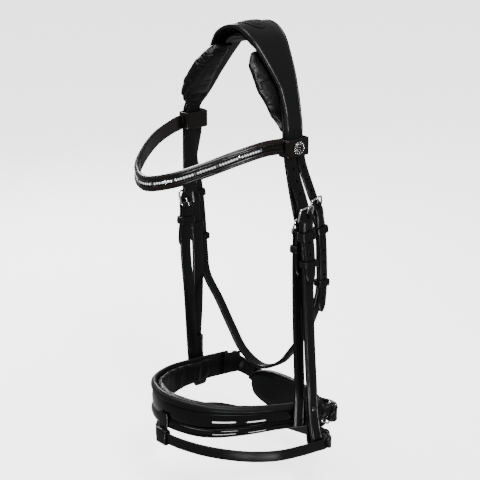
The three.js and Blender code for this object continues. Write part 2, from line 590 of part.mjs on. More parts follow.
function flashLoop() {
  const [width, wall, room] = [13, 1.8, 1.1];
  const round = (length, space) =>
    block(length, LEATHER + 2 * space, FLASH_WIDTH + 2 * space, 0, FLASH_FRONT.y, FLASH_FRONT.z);
  const window = round(width + 4, room);
  const ring = round(width, room + wall);
  const tab = block(width, 2, 24, 0, NOSE_FRONT_Y - 4.8, FLASH_FRONT.z + 18);
  add('flash_loop', cut(join(ring, tab), window), leather);
}

const JAW_LINE = [
  [-98.5, 84.5, -456], [-92, 89.5, -460], [-76, 92.5, -464], [-45, 93.5, -468], [0, 94, -469], [45, 92, -465],
  [74, 85.5, -458], [90, 76, -454], [96.4, 67.5, -451.5],
].map((p) => vec(...p));

const JAW_KEEPER_SHARE = 0.1;

function crankRing(hand) {
  const [front, rear] = CRANK[hand];
  const length = rear.distanceTo(front);
  const inner = JAW_STRAP_WIDTH / 2 + 3.2;
  const rectangle = (grow, Kind) => new Kind().moveTo(-grow, -inner - grow).lineTo(length + grow, -inner - grow)
    .lineTo(length + grow, inner + grow).lineTo(-grow, inner + grow);
  const outline = rectangle(WIRE / 2, THREE.Shape);
  outline.holes.push(rectangle(-WIRE / 2, THREE.Path));
  return new THREE.ExtrudeGeometry(outline, { depth: WIRE, bevelEnabled: false })
    .translate(0, 0, -WIRE / 2).applyMatrix4(crankPlace(hand));
}

function jawPiece() {
  const eyes = { left: CRANK.left[1], right: CRANK.right[1] };
  let body = strap([eyes.right, ...JAW_LINE, eyes.left], Z_AXIS, JAW_STRAP_WIDTH, LEATHER, 48);
  for (const [, hand] of SIDES) {
    const apart = CRANK[hand][0].distanceTo(eyes[hand]);
    const place = crankPlace(hand).multiply(new THREE.Matrix4().makeTranslation(apart, 0, 0));
    body = join(body, pinAlongY(EYE_HOLE + EYE_WALL, JAW_STRAP_WIDTH, 0, 0).applyMatrix4(place));
    body = cut(body, pinAlongY(EYE_HOLE, JAW_STRAP_WIDTH + 12, 0, 0).applyMatrix4(place));
    add(`crank_ring_${hand}`, crankRing(hand), steel);
  }
  add('jaw_strap', body, leather);
  const padLine = [-70, -50, -25, 0, 25, 50, 66].map((x) => vec(x, 85.5 - 0.001 * x * x, -470));
  add('jaw_pad', sweep(padLine, Z_AXIS, 14, (t) => {
    const round = Math.sqrt(Math.max(0, 1 - Math.abs(2 * t - 1) ** 2.6));
    return padSection(16 + 38 * round, 4 + 5 * round);
  }), softLeather);
  const curve = new THREE.CatmullRomCurve3(JAW_LINE, false, 'centripetal');
  const along = curve.getTangentAt(JAW_KEEPER_SHARE);
  const outward = along.clone().cross(Z_AXIS).normalize();
  const place = new THREE.Matrix4().makeBasis(outward, along.clone().cross(outward).normalize(), along)
    .setPosition(curve.getPointAt(JAW_KEEPER_SHARE));
  add('jaw_keeper', keeper(JAW_STRAP_WIDTH, LEATHER, 10, 0).applyMatrix4(place), leather);
}

headpiece();
browband();
for (const [side, hand] of SIDES) {
  cheekpiece(side, hand);
  hanger(side, hand);
}
throatlatch();
noseband();
flashLoop();
flashStrap();
jawPiece();

export default bridle;
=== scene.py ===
import math
import random

import bmesh
import bpy
import numpy as np
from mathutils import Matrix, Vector


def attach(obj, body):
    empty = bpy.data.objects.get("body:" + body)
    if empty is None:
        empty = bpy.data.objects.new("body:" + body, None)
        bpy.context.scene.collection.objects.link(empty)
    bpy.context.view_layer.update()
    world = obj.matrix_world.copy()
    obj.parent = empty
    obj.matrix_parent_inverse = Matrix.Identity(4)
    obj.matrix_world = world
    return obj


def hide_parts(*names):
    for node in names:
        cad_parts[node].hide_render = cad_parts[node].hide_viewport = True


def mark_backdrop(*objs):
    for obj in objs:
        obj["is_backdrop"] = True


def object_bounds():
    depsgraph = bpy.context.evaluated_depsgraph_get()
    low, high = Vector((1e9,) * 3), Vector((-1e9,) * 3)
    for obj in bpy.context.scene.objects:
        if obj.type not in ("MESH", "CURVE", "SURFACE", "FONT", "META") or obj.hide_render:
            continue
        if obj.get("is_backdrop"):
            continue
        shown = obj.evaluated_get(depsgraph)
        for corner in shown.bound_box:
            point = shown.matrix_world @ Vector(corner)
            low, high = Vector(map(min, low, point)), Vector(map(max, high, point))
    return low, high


# A leather snaffle bridle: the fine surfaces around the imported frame. Lengths are in millimetres until
# mesh_object() scales them. +Z is up, the horse faces -Y and its left side is +X.
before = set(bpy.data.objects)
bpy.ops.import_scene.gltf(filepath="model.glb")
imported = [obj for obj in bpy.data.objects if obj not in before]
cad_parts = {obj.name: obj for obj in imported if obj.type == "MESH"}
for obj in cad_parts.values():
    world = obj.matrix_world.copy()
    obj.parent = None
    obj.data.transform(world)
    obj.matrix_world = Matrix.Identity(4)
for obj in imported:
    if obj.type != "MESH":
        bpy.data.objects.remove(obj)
start_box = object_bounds()
random.seed(7)
X, Y, Z = np.eye(3)

# ---------------------------------------------------------------- sizes
GAP = 0.35
LEATHER = 3.2
STRAP = 4.0
CHEEK_WIDTH = 15.0
HANGER_WIDTH = 15.0
THROAT_WIDTH = 11.5
FLASH_WIDTH = 13.0
JAW_STRAP_WIDTH = 20.0
WIRE = 2.3
BUCKLE_HEIGHT = 16.0
FRAME_OUT = 5.6
EYE = 4.0                       # outer radius of the leather round a buckle bar
LOOP_Z = -112.0
BILLET_ON_STRAP = STRAP / 2 + 2 * GAP + LEATHER / 2
BILLET_UNDER_FRAME = 1.2
BILLET_OUT = EYE + GAP + LEATHER / 2
STITCH = 3.1                    # pitch of the stitching
HOLE_PITCH = 14.5
BILLET_LAYER = 92.0             # how far out the swinging billets hang inside the loops
HANGER_LAYER = 86.5


# ---------------------------------------------------------------- materials
def shader(name, color, roughness, **inputs):
    mat = bpy.data.materials.new(name)
    mat.use_nodes = True
    bsdf = mat.node_tree.nodes["Principled BSDF"]
    bsdf.inputs["Base Color"].default_value = (*color, 1)
    bsdf.inputs["Roughness"].default_value = roughness
    for key, value in inputs.items():
        bsdf.inputs[key.replace("_", " ")].default_value = value
    return mat, mat.node_tree, bsdf


def grain(tree, bsdf, scale, strength, distance=0.0002, folds=0.0):
    """Leather grain: fine cells, with broader soft folds under them."""
    nodes, links = tree.nodes, tree.links
    coords = nodes.new("ShaderNodeTexCoord")
    cells = nodes.new("ShaderNodeTexVoronoi")
    cells.feature = "SMOOTH_F1"
    cells.inputs["Scale"].default_value = scale
    noise = nodes.new("ShaderNodeTexNoise")
    noise.inputs["Scale"].default_value = scale * 0.16
    noise.inputs["Detail"].default_value = 6
    mix = nodes.new("ShaderNodeMath")
    mix.operation = "MULTIPLY_ADD"
    mix.inputs[1].default_value = 0.55
    bump = nodes.new("ShaderNodeBump")
    bump.inputs["Strength"].default_value = strength
    bump.inputs["Distance"].default_value = distance
    links.new(coords.outputs["Object"], cells.inputs["Vector"])
    links.new(coords.outputs["Object"], noise.inputs["Vector"])
    links.new(noise.outputs["Fac"], mix.inputs[0])
    links.new(cells.outputs["Distance"], mix.inputs[2])
    links.new(mix.outputs[0], bump.inputs["Height"])
    links.new(bump.outputs["Normal"], bsdf.inputs["Normal"])
    if folds:
        wide = nodes.new("ShaderNodeTexNoise")
        wide.inputs["Scale"].default_value = folds
        wide.inputs["Distortion"].default_value = 1.2
        soft = nodes.new("ShaderNodeBump")
        soft.inputs["Strength"].default_value = 0.5
        soft.inputs["Distance"].default_value = 0.002
        links.new(coords.outputs["Object"], wide.inputs["Vector"])
        links.new(wide.outputs["Fac"], soft.inputs["Height"])
        links.new(soft.outputs["Normal"], bump.inputs["Normal"])


def worn(tree, bsdf, low, high, scale=40):
    """The polish varies a little over the surface."""
    noise = tree.nodes.new("ShaderNodeTexNoise")
    noise.inputs["Scale"].default_value = scale
    ramp = tree.nodes.new("ShaderNodeMapRange")
    ramp.inputs["To Min"].default_value = low
    ramp.inputs["To Max"].default_value = high
    coords = tree.nodes.new("ShaderNodeTexCoord")
    tree.links.new(coords.outputs["Object"], noise.inputs["Vector"])
    tree.links.new(noise.outputs["Fac"], ramp.inputs["Value"])
    tree.links.new(ramp.outputs["Result"], bsdf.inputs["Roughness"])


def leather_material(name, color, low, high, scale=900, strength=0.25, folds=0.0, coat=0.0, gloss=0.2):
    mat, tree, bsdf = shader(name, color, low, Specular_IOR_Level=gloss, Coat_Weight=coat, Coat_Roughness=0.16,
                             Coat_IOR=1.35)
    worn(tree, bsdf, low, high)
    grain(tree, bsdf, scale, strength, folds=folds)
    return mat


LEATHER_BLACK = leather_material("leather_black", (0.0035, 0.0035, 0.004), 0.26, 0.38, coat=0.1)
LEATHER_SATIN = leather_material("leather_satin", (0.0055, 0.0055, 0.006), 0.34, 0.46, 1200, 0.18)
LEATHER_SOFT = leather_material("leather_soft", (0.003, 0.003, 0.0035), 0.34, 0.46, 700, 0.4,
                                folds=45, gloss=0.22)
LEATHER_BROWN = leather_material("leather_browband", (0.0055, 0.004, 0.0035), 0.2, 0.3, 1000, 0.15, coat=0.3)
PATENT = shader("patent_black", (0.002, 0.002, 0.0025), 0.06, Specular_IOR_Level=0.16, Coat_Weight=1.0,
                Coat_Roughness=0.015, Coat_IOR=1.22)[0]
THREAD = shader("thread_black", (0.009, 0.009, 0.01), 0.65, Specular_IOR_Level=0.12)[0]
# Matt near-black with no specular: painted shade that stands in for the hollow of a punched hole.
HOLE_PAINTED_SHADE = shader("hole_painted_shade", (0.002, 0.002, 0.002), 0.9, Specular_IOR_Level=0.0)[0]
STEEL = shader("steel_polished", (0.72, 0.72, 0.74), 0.16, Metallic=1.0)[0]
STEEL_DARK = shader("steel_dark", (0.075, 0.07, 0.07), 0.3, Metallic=1.0)[0]
BRONZE = shader("bronze_brown", (0.2, 0.11, 0.07), 0.25, Metallic=1.0)[0]
# The stones are opaque white, not clear: a painted glitter that stands in for the light a cut crystal throws
# back.
STONE_PAINTED_GLINT = shader("crystal_painted_white", (0.97, 0.98, 1.0), 0.05, Coat_Weight=1.0)[0]


# ---------------------------------------------------------------- curves
def circle(count):
    """Evenly spaced angles once round."""
    return np.linspace(0, 2 * math.pi, count, endpoint=False)


class Line:
    """A smooth centripetal Catmull-Rom line through points, measured along its length."""

    def __init__(self, points, closed=False):
        p = np.array(points, float)
        if closed:
            p = np.vstack([p[-1], p, p[0], p[1]])
        else:
            p = np.vstack([2 * p[0] - p[1], p, 2 * p[-1] - p[-2]])
        dense = []
        for a, b, c, d in zip(p, p[1:], p[2:], p[3:]):
            k0, k1, k2 = (max(np.linalg.norm(v) ** 0.5, 1e-4) for v in (b - a, c - b, d - c))
            m1 = ((b - a) / k0 - (c - a) / (k0 + k1) + (c - b) / k1) * k1
            m2 = ((c - b) / k1 - (d - b) / (k1 + k2) + (d - c) / k2) * k1
            t = np.linspace(0, 1, 40, endpoint=False)[:, None]
            dense.append(b + m1 * t + (-3 * b + 3 * c - 2 * m1 - m2) * t ** 2
                         + (2 * b - 2 * c + m1 + m2) * t ** 3)
        self.p = np.vstack(dense + [p[-2][None]])
        self.s = np.concatenate([[0], np.cumsum(np.linalg.norm(np.diff(self.p, axis=0), axis=1))])
        self.length = self.s[-1]

    def at(self, t):
        s = t * self.length
        return np.array([np.interp(s, self.s, self.p[:, i]) for i in range(3)])

    def along(self, t):
        e = 0.6 / self.length
        d = self.at(min(1, t + e)) - self.at(max(0, t - e))
        return d / np.linalg.norm(d)


def frame_at(line, t, axis):
    """Centre, across (u) and out (v) of the line at t, for a width axis."""
    along = line.along(t)
    out = np.cross(along, axis)
    out /= np.linalg.norm(out)
    return line.at(t), np.cross(out, along), out


def on_line(line, t, axis, u, v):
    centre, across, out = frame_at(line, t, axis)
    return centre + across * u + out * v


# ---------------------------------------------------------------- meshes
def mesh_object(name, verts, faces, mats, indices=None, smooth=True, angle=38):
    mesh = bpy.data.meshes.new(name)
    mesh.from_pydata([tuple(np.asarray(v) * 0.001) for v in verts], [], faces)
    for mat in mats if isinstance(mats, list) else [mats]:
        mesh.materials.append(mat)
    if indices is not None:
        mesh.polygons.foreach_set("material_index", indices)
    obj = bpy.data.objects.new(name, mesh)
    bpy.context.scene.collection.objects.link(obj)
    bm = bmesh.new()
    bm.from_mesh(mesh)
    bmesh.ops.recalc_face_normals(bm, faces=bm.faces)
    for edge in bm.edges:
        edge.smooth = len(edge.link_faces) == 2 and edge.calc_face_angle(0) < math.radians(angle)
    for face in bm.faces:
        face.smooth = smooth
    bm.to_mesh(mesh)
    bm.free()
    return obj


class Parts:
    """Collects bodies that end in one mesh, each with its own material."""

    def __init__(self):
        self.verts, self.faces, self.indices, self.mats = [], [], [], []

    def add(self, verts, faces, mat):
        base = len(self.verts)
        if mat not in self.mats:
            self.mats.append(mat)
        self.verts.extend(np.asarray(v, float) for v in verts)
        self.faces.extend([tuple(base + i for i in f) for f in faces])
        self.indices.extend([self.mats.index(mat)] * len(faces))

    def done(self, name, **kw):
        return mesh_object(name, self.verts, self.faces, self.mats, self.indices, **kw)


def rings_mesh(rings, closed=False):
    """Joins rings of corners into one skin; open ends are capped."""
    n = len(rings[0])
    verts = [p for ring in rings for p in ring]
    faces = []
    count = len(rings)
    for i in range(count if closed else count - 1):
        a0, b0 = i * n, ((i + 1) % count) * n
        for j in range(n):
            k = (j + 1) % n
            faces.append((a0 + j, a0 + k, b0 + k, b0 + j))
    if not closed:
        faces.append(tuple(range(n)))
        faces.append(tuple((count - 1) * n + j for j in range(n)))
    return verts, faces


def strap_section(width, thick, crease=2.4, face=1, crown=0.0):
    """A leather strap with rounded edges and a pressed crease near each edge; face is the sign of v outside."""
    w, h = width / 2, thick / 2
    top = [(w - crease - 2.2, h + crown), (w - crease - 0.5, h + crown * 0.7), (w - crease, h - 0.32),
           (w - crease + 0.5, h), (w - 1.0, h), (w - 0.35, h - 0.3), (w, h - 0.9)]
    back = [(w, 0.6 - h), (w - 0.35, 0.15 - h), (w - 0.9, -h)]
    half = top + back
    mirror = [(-u, v) for u, v in reversed(half)]
    return [(u, v * face) for u, v in [(0, h + crown)] + half + [(0, -h)] + mirror]


def sweep_rings(line, axis, steps, section, start=0.0, end=1.0):
    rings = []
    for i in range(steps + 1):
        t = start + (end - start) * i / steps
        centre, across, out = frame_at(line, t, axis)
        rings.append([centre + across * u + out * v for u, v in section(t)])
    return rings


def tip_share(left, tip):
    """The width of a strap near its rounded point, as a share."""
    if left >= tip:
        return 1.0
    s = max(left, 0) / tip
    return 0.12 + 0.88 * math.sqrt(max(0, 1 - (1 - s) ** 2.2))


def strap(parts, line, axis, width, thick, mat, face=1, tip=0, crease=2.4, crown=0.0, start=0.0, end=1.0,
          pitch=2.2):
    steps = max(8, int(line.length * (end - start) / pitch))

    def section(t):
        share = tip_share(line.length * (end - t), tip) if tip else 1
        return [(u * share, v) for u, v in strap_section(width, thick, crease, face, crown)]
    if tip:                                       # finer steps towards the point
        fine = end - tip / line.length
        rings = sweep_rings(line, axis, steps, section, start, fine)
        rings += sweep_rings(line, axis, 14, section, fine, end)[1:]
    else:
        rings = sweep_rings(line, axis, steps, section, start, end)
    parts.add(*rings_mesh(rings), mat)


def capsule(parts, middle, along, out, length, radius, mat, flat=0.7):
    """One stitch: a small rounded thread lying on the leather."""
    side = np.cross(along, out)
    verts = []
    for s, r in ((-0.5, 0.25), (-0.32, 0.85), (0, 1.0), (0.32, 0.85), (0.5, 0.25)):
        for k in range(6):
            a = 2 * math.pi * k / 6
            verts.append(middle + along * s * length + side * math.cos(a) * radius * r
                         + out * math.sin(a) * radius * r * flat)
    faces = [(i * 6 + j, i * 6 + (j + 1) % 6, (i + 1) * 6 + (j + 1) % 6, (i + 1) * 6 + j)
             for i in range(4) for j in range(6)]
    faces += [tuple(range(6)), tuple(range(24, 30))]
    parts.add(verts, faces, mat)


def stitches(parts, place, start, end, length, mat=THREAD, pitch=STITCH, radius=0.36):
    """A row of stitches. place(t) gives a point on the surface and the surface's outward direction."""
    count = int(length * (end - start) / pitch)
    for i in range(count):
        t = start + (end - start) * (i + 0.5) / count
        e = 0.25 * pitch / length
        (a, out), (b, _) = place(t - e), place(t + e)
        along = b - a
        size = np.linalg.norm(along)
        if size > 1e-6:
            capsule(parts, (a + b) / 2, along / size, out, pitch * 0.72, radius, mat)


def edge_stitches(parts, line, axis, width, thick, face=1, start=0.02, end=0.98, inset=1.35, tip=0):
    for side in (-1, 1):
        def place(t):
            t = min(max(t, 0), 1)
            share = tip_share(line.length * (1 - t), tip) if tip else 1
            centre, across, out = frame_at(line, t, axis)
            u = side * (width / 2 * share - inset)
            return centre + across * u + out * face * (thick / 2 + 0.02), out * face
        stitches(parts, place, start, end, line.length)


def hole(parts, centre, across, out, radius=1.25, long=1.5):
    """A punched hole, not cut through: a dark oval painted as the shade inside it, with a pressed lip."""
    along = np.cross(across, out)
    ring = [centre + along * math.cos(a) * radius * long + across * math.sin(a) * radius + out * 0.06
            for a in circle(16)]
    parts.add(ring, [tuple(range(16))], HOLE_PAINTED_SHADE)
    rings = []
    for a in circle(16):
        d = along * math.cos(a) * long + across * math.sin(a)
        n = d / np.linalg.norm(d)
        middle = centre + d * (radius + 0.15)
        rings.append([middle + n * 0.28 * math.cos(b) + out * (0.2 * math.sin(b) + 0.02)
                      for b in circle(6)])
    parts.add(*rings_mesh(rings, closed=True), LEATHER_BLACK)


def wire(parts, points, radius, mat, sides=12, squash=1.0, pitch=0.9):
    """A round wire bent into a closed ring along points."""
    line = Line(points, closed=True)
    steps = max(12, int(line.length / pitch))
    axis = np.cross(np.array(points[1]) - points[0], np.array(points[2]) - points[1])
    axis = axis / np.linalg.norm(axis) if np.linalg.norm(axis) > 1e-6 else X
    rings = []
    for i in range(steps):
        centre, across, out = frame_at(line, i / steps, axis)
        rings.append([centre + across * radius * math.sin(a) * squash + out * radius * math.cos(a)
                      for a in circle(sides)])
    parts.add(*rings_mesh(rings, closed=True), mat)


def rounded_rectangle(x0, x1, y0, y1, radius, per=5):
    """Corners of a rounded rectangle in a plane, counter-clockwise."""
    out = []
    for cx, cy, first in ((x1 - radius, y1 - radius, 0), (x0 + radius, y1 - radius, 90),
                          (x0 + radius, y0 + radius, 180), (x1 - radius, y0 + radius, 270)):
        for i in range(per):
            a = math.radians(first + 90 * i / (per - 1))
            out.append((cx + radius * math.cos(a), cy + radius * math.sin(a)))
    return out


class Place:
    """A placement: origin and three directions, local x outwards, y across, z up the strap."""

    def __init__(self, x, y, z, origin):
        self.m = np.array([x, y, z], float).T
        self.o = np.array(origin, float)

    def __call__(self, *p):
        return self.o + self.m @ np.array(p, float)


def finish(parts, name, body, nodes, slot, **kw):
    obj = parts.done(name + "_fine", **kw)
    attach(obj, body)
    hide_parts(*([nodes] if isinstance(nodes, str) else nodes))
    return obj


# ---------------------------------------------------------------- buckles, keepers, loops
def buckle(name, body, place, width, mat=STEEL):
    """A wire frame whose bar is the local y axis and whose top side stands outwards."""
    inner = width / 2 + 1.1 + WIRE / 2
    tall = math.hypot(BUCKLE_HEIGHT, FRAME_OUT)
    lean = math.atan2(FRAME_OUT, BUCKLE_HEIGHT)
    flat = rounded_rectangle(-inner, inner, 0, tall, 2.6)
    bow = [(0.9 * math.sin(math.pi * z / tall), y, z) for y, z in flat]    # the sides bow outwards a little
    turned = [place(x * math.cos(lean) + z * math.sin(lean), y, z * math.cos(lean) - x * math.sin(lean))
              for x, y, z in bow]
    parts = Parts()
    wire(parts, turned, WIRE / 2, mat)
    return finish(parts, name, body, name, "steel")


def tongue(name, body, place, mat=STEEL):
    """The pin: an eye round the bar and a straight tapered pin that lies over the frame's top side."""
    tall = math.hypot(BUCKLE_HEIGHT, FRAME_OUT)
    rise = WIRE / 2 + GAP + 1.2
    tilt = math.atan2(FRAME_OUT, BUCKLE_HEIGHT) + math.asin(rise / tall)
    parts = Parts()
    eye = [place(2.5 * math.cos(a), 0, 2.5 * math.sin(a)) for a in circle(14)]
    wire(parts, eye, 0.62, mat, squash=1.8)
    long = tall + WIRE + 1
    rings = []
    for i in range(17):
        s = i / 16
        z = 2.4 + (long - 2.4) * s
        bend = -1.1 * max(0, s - 0.72) ** 1.5 * 6
        r = (1.15 - 0.35 * s) * (1 if s < 0.97 else 0.6)
        middle = (z * math.sin(tilt) + bend * math.cos(tilt), z * math.cos(tilt) - bend * math.sin(tilt))
        rings.append([place(middle[0] + r * 0.85 * math.cos(a) * math.cos(tilt), r * math.sin(a),
                            middle[1] - r * 0.85 * math.cos(a) * math.sin(tilt))
                      for a in circle(12)])
    parts.add(*rings_mesh(rings), mat)
    return finish(parts, name, body, name, "steel")


def leather_loop(parts, place, x0, x1, y0, y1, height, wall, mat, radius=2.2, stitch=True):
    """A leather band bent round a stack of straps; local z is along the straps."""
    outline = rounded_rectangle(x0 - wall / 2, x1 + wall / 2, y0 - wall / 2, y1 + wall / 2, radius, per=6)
    line = Line([place(x, y, 0) for x, y in outline], closed=True)
    up = place.m[:, 2]
    steps = 90
    rings = []
    for i in range(steps):
        t = i / steps
        centre, across, out = frame_at(line, t, up)
        rings.append([centre + across * u + out * v for u, v in strap_section(height, wall, 1.6, 1, 0.15)])
    parts.add(*rings_mesh(rings, closed=True), mat)
    if stitch:
        for side in (-1, 1):
            def spot(t):
                t = t % 1
                centre, across, out = frame_at(line, min(max(t, 0.002), 0.998), up)
                return centre + across * side * (height / 2 - 0.85) + out * (wall / 2 + 0.02), out
            stitches(parts, spot, 0.01, 0.99, line.length, pitch=2.4, radius=0.26)


def keeper(name, body, place, width, depth, height, middle, mat=LEATHER_BLACK):
    w, d = width / 2 + GAP + 0.5, depth / 2 + GAP
    parts = Parts()
    leather_loop(parts, place, middle - d, middle + d, -w, w, height, 1.8, mat, radius=1.9)
    return finish(parts, name, body, name, "leather")


def bar_eye(parts, place, width, mat, radius=3.0, thick=1.9):
    """The strap's end wrapped round the bar: two cheeks with a slot between them for the tongue."""
    for low, high in ((-width / 2, -2.1), (2.1, width / 2)):
        rings = []
        for a in circle(24):
            d = (math.cos(a), math.sin(a))
            ring = []
            for u, r in ((low, radius - thick / 2), (low, radius + thick / 2 - 0.3),
                         (low + 0.4, radius + thick / 2),
                         (high - 0.4, radius + thick / 2), (high, radius + thick / 2 - 0.3),
                         (high, radius - thick / 2)):
                ring.append(place(d[0] * r, u, d[1] * r))
            rings.append(ring)
        parts.add(*rings_mesh(rings, closed=True), mat)


# ---------------------------------------------------------------- headpiece
ARCH = [(92, 0.2, -110.6, 23.4), (89.5, 1.6, -95, 24), (80, 8, -78, 24), (66, 13.5, -52, 28),
        (48, 14.7, -24, 41), (27, 15, 1, 53), (0, 17, 10.5, 56)]
CROWN = Line([(o, y, z) for o, y, z, _ in ARCH] + [(-o, y, z) for o, y, z, _ in ARCH[-2::-1]])
WIDTHS = [(z, w) for _, _, z, w in ARCH]
SLIPHEAD_MIDDLE = 5.2
UNDER_SLIPHEAD = SLIPHEAD_MIDDLE + LEATHER / 2 + 0.5


def table(pairs, x):
    """Reads [x, value] pairs in rising order."""
    return float(np.interp(x, [p[0] for p in pairs], [p[1] for p in pairs]))


def crown_width(t):
    return table(WIDTHS, CROWN.at(t)[2])


def crown_point(t, u, v):
    """u to the rear of the crown's middle line, v inwards."""
    return on_line(CROWN, t, Y, u, v)


def crown():
    """The wide top leather with a bound, rolled edge all round and a stitched line inside it."""
    parts = Parts()

    def section(t):
        w = crown_width(t) / 2
        rise = 0.9 * min(1, max(0, (w - 13) / 12))
        bead = 1.35
        top = [(0, -2 - rise), (w * 0.5, -2 - rise * 0.8), (w - 4.6, -2 - rise * 0.3), (w - 3.4, -1.75),
               (w - 2.9, -1.35), (w - 2.6, -1.8), (w - 2.0, -2.2), (w - bead, -2.35),
               (w - 0.5, -2.0), (w, -1.1),
               (w + 0.05, 0), (w - 0.1, 1.1), (w - 0.7, 1.8), (w - 1.6, 2)]
        return top + [(0, 2)] + [(-u, v) for u, v in reversed(top[1:])]
    parts.add(*rings_mesh(sweep_rings(CROWN, Y, 190, section)), LEATHER_BLACK)
    for side in (-1, 1):
        def spot(t):
            centre, across, out = frame_at(CROWN, t, Y)
            return centre + across * side * (crown_width(t) / 2 - 4.9) - out * 2.12, -out
        stitches(parts, spot, 0.03, 0.97, CROWN.length, pitch=3.4)
    finish(parts, "headpiece_strap", "headpiece", "headpiece_strap", "leather")


def patch():
    """A raised oval with a stitched rim on the poll."""
    parts = Parts()
    half = 0.062
    rings = []
    base = -2 - 0.9 - GAP
    rim = [(0.35, 0.0), (1.0, 0.0), (1.0, 0.55), (0.93, 1.1), (0.85, 1.25),
           (0.8, 0.85), (0.74, 1.1), (0.5, 1.5),
           (0.25, 1.65)]
    count = 72
    for a in circle(count):
        rings.append([crown_point(0.5 + half * r * math.cos(a), 12.5 * r * math.sin(a), base + 0.35 - h)
                      for r, h in rim])
    verts = [p for ring in rings for p in ring]
    n = len(rim)
    faces = [(i * n + j, i * n + j + 1, ((i + 1) % count) * n + j + 1, ((i + 1) % count) * n + j)
             for i in range(count) for j in range(n - 1)]
    faces.append(tuple(i * n + n - 1 for i in range(count)))
    faces.append(tuple(i * n for i in range(count)))
    parts.add(verts, faces, LEATHER_SATIN)

    def spot(t):
        a = 2 * math.pi * t
        p = crown_point(0.5 + half * 0.66 * math.cos(a), 12.5 * 0.66 * math.sin(a), base + 0.35 - 1.32)
        return p, -frame_at(CROWN, 0.5, Y)[2]
    stitches(parts, spot, 0.0, 1.0, 62, pitch=2.6, radius=0.3)
    finish(parts, "poll_patch", "headpiece", "poll_patch", "leather")


def sliphead():
    parts = Parts()
    points = []
    for i in range(41):
        t = 0.002 + 0.996 * i / 40
        points.append(crown_point(t, -4.2 * abs(2 * t - 1) ** 0.7, SLIPHEAD_MIDDLE))
    line = Line(points)
    strap(parts, line, Y, HANGER_WIDTH, LEATHER, LEATHER_SATIN, face=-1)
    finish(parts, "noseband_sliphead", "headpiece", "noseband_sliphead", "leather")


# ---------------------------------------------------------------- padded pieces
def cushion(name, rings, seam, pressure=3.2, shrink=-0.09, cap=3.5):
    """A soft tube of rings: its seam is stitched down and the leather between puffs and ruffles."""
    verts, faces = rings_mesh(rings)
    n = len(rings[0])
    obj = mesh_object(name, verts, faces, LEATHER_SOFT, angle=180)
    pins = [i for i in range(len(verts)) if i % n in seam or i < n or i >= len(verts) - n]
    group = obj.vertex_groups.new(name="seam")
    group.add(pins, 1.0, "REPLACE")
    cloth = obj.modifiers.new("cloth", "CLOTH")
    s = cloth.settings
    s.quality = 6
    s.mass = 0.15
    s.tension_stiffness = s.compression_stiffness = 12
    s.bending_stiffness = 0.25
    s.use_pressure = True
    s.uniform_pressure_force = pressure
    s.shrink_min = shrink
    s.vertex_group_mass = "seam"
    s.pin_stiffness = 1
    s.effector_weights.gravity = 0
    cloth.point_cache.frame_start, cloth.point_cache.frame_end = 1, 20
    scene = bpy.context.scene
    for f in range(1, 21):
        scene.frame_set(f)
    bpy.context.view_layer.update()
    result = obj.evaluated_get(bpy.context.evaluated_depsgraph_get())
    moved = np.array([v.co for v in result.data.vertices])
    obj.modifiers.remove(cloth)
    scene.frame_set(1)
    rest = np.array([v.co for v in obj.data.vertices])
    step = moved - rest
    size = np.linalg.norm(step, axis=1)
    step *= np.minimum(1, cap * 0.001 / np.maximum(size, 1e-9))[:, None]
    obj.data.vertices.foreach_set("co", (rest + step).ravel())
    obj.vertex_groups.clear()
    sub = obj.modifiers.new("fine", "SUBSURF")
    sub.levels = sub.render_levels = 1
    bpy.context.view_layer.objects.active = obj
    with bpy.context.temp_override(object=obj, active_object=obj, selected_objects=[obj]):
        bpy.ops.object.modifier_apply(modifier="fine")
    return obj


def pad_ring(half_u, thick, count=28, soft=0.62):
    """A rounded flat-backed section as (u, v) corners."""
    out = []
    for k in range(count):
        a = 2 * math.pi * k / count
        c, s = math.cos(a), math.sin(a)
        out.append((math.copysign(abs(c) ** soft, c) * half_u, math.copysign(abs(s) ** soft, s) * thick / 2))
    return out


def finish_pad(obj, nodes, body="headpiece"):
    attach(obj, body)
    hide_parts(nodes)


# Share from the poll to the loop, with the Y of the pad's front and rear edges there.
PAD_EDGES = {
    "left": ([(0, -9), (0.15, -18), (0.5, -19), (0.8, -14), (1, -9)],
             [(0, 34), (0.35, 31), (0.7, 22), (1, 11)]),
    "right": ([(0, -9), (0.08, -22), (0.28, -32), (0.6, -36), (0.85, -34), (0.95, -28), (1, -18)],
              [(0, 14), (0.15, 8), (0.45, 6), (0.8, 5), (1, 0)]),
}
RUFFLES = {"left": 0.12, "right": 1.0}


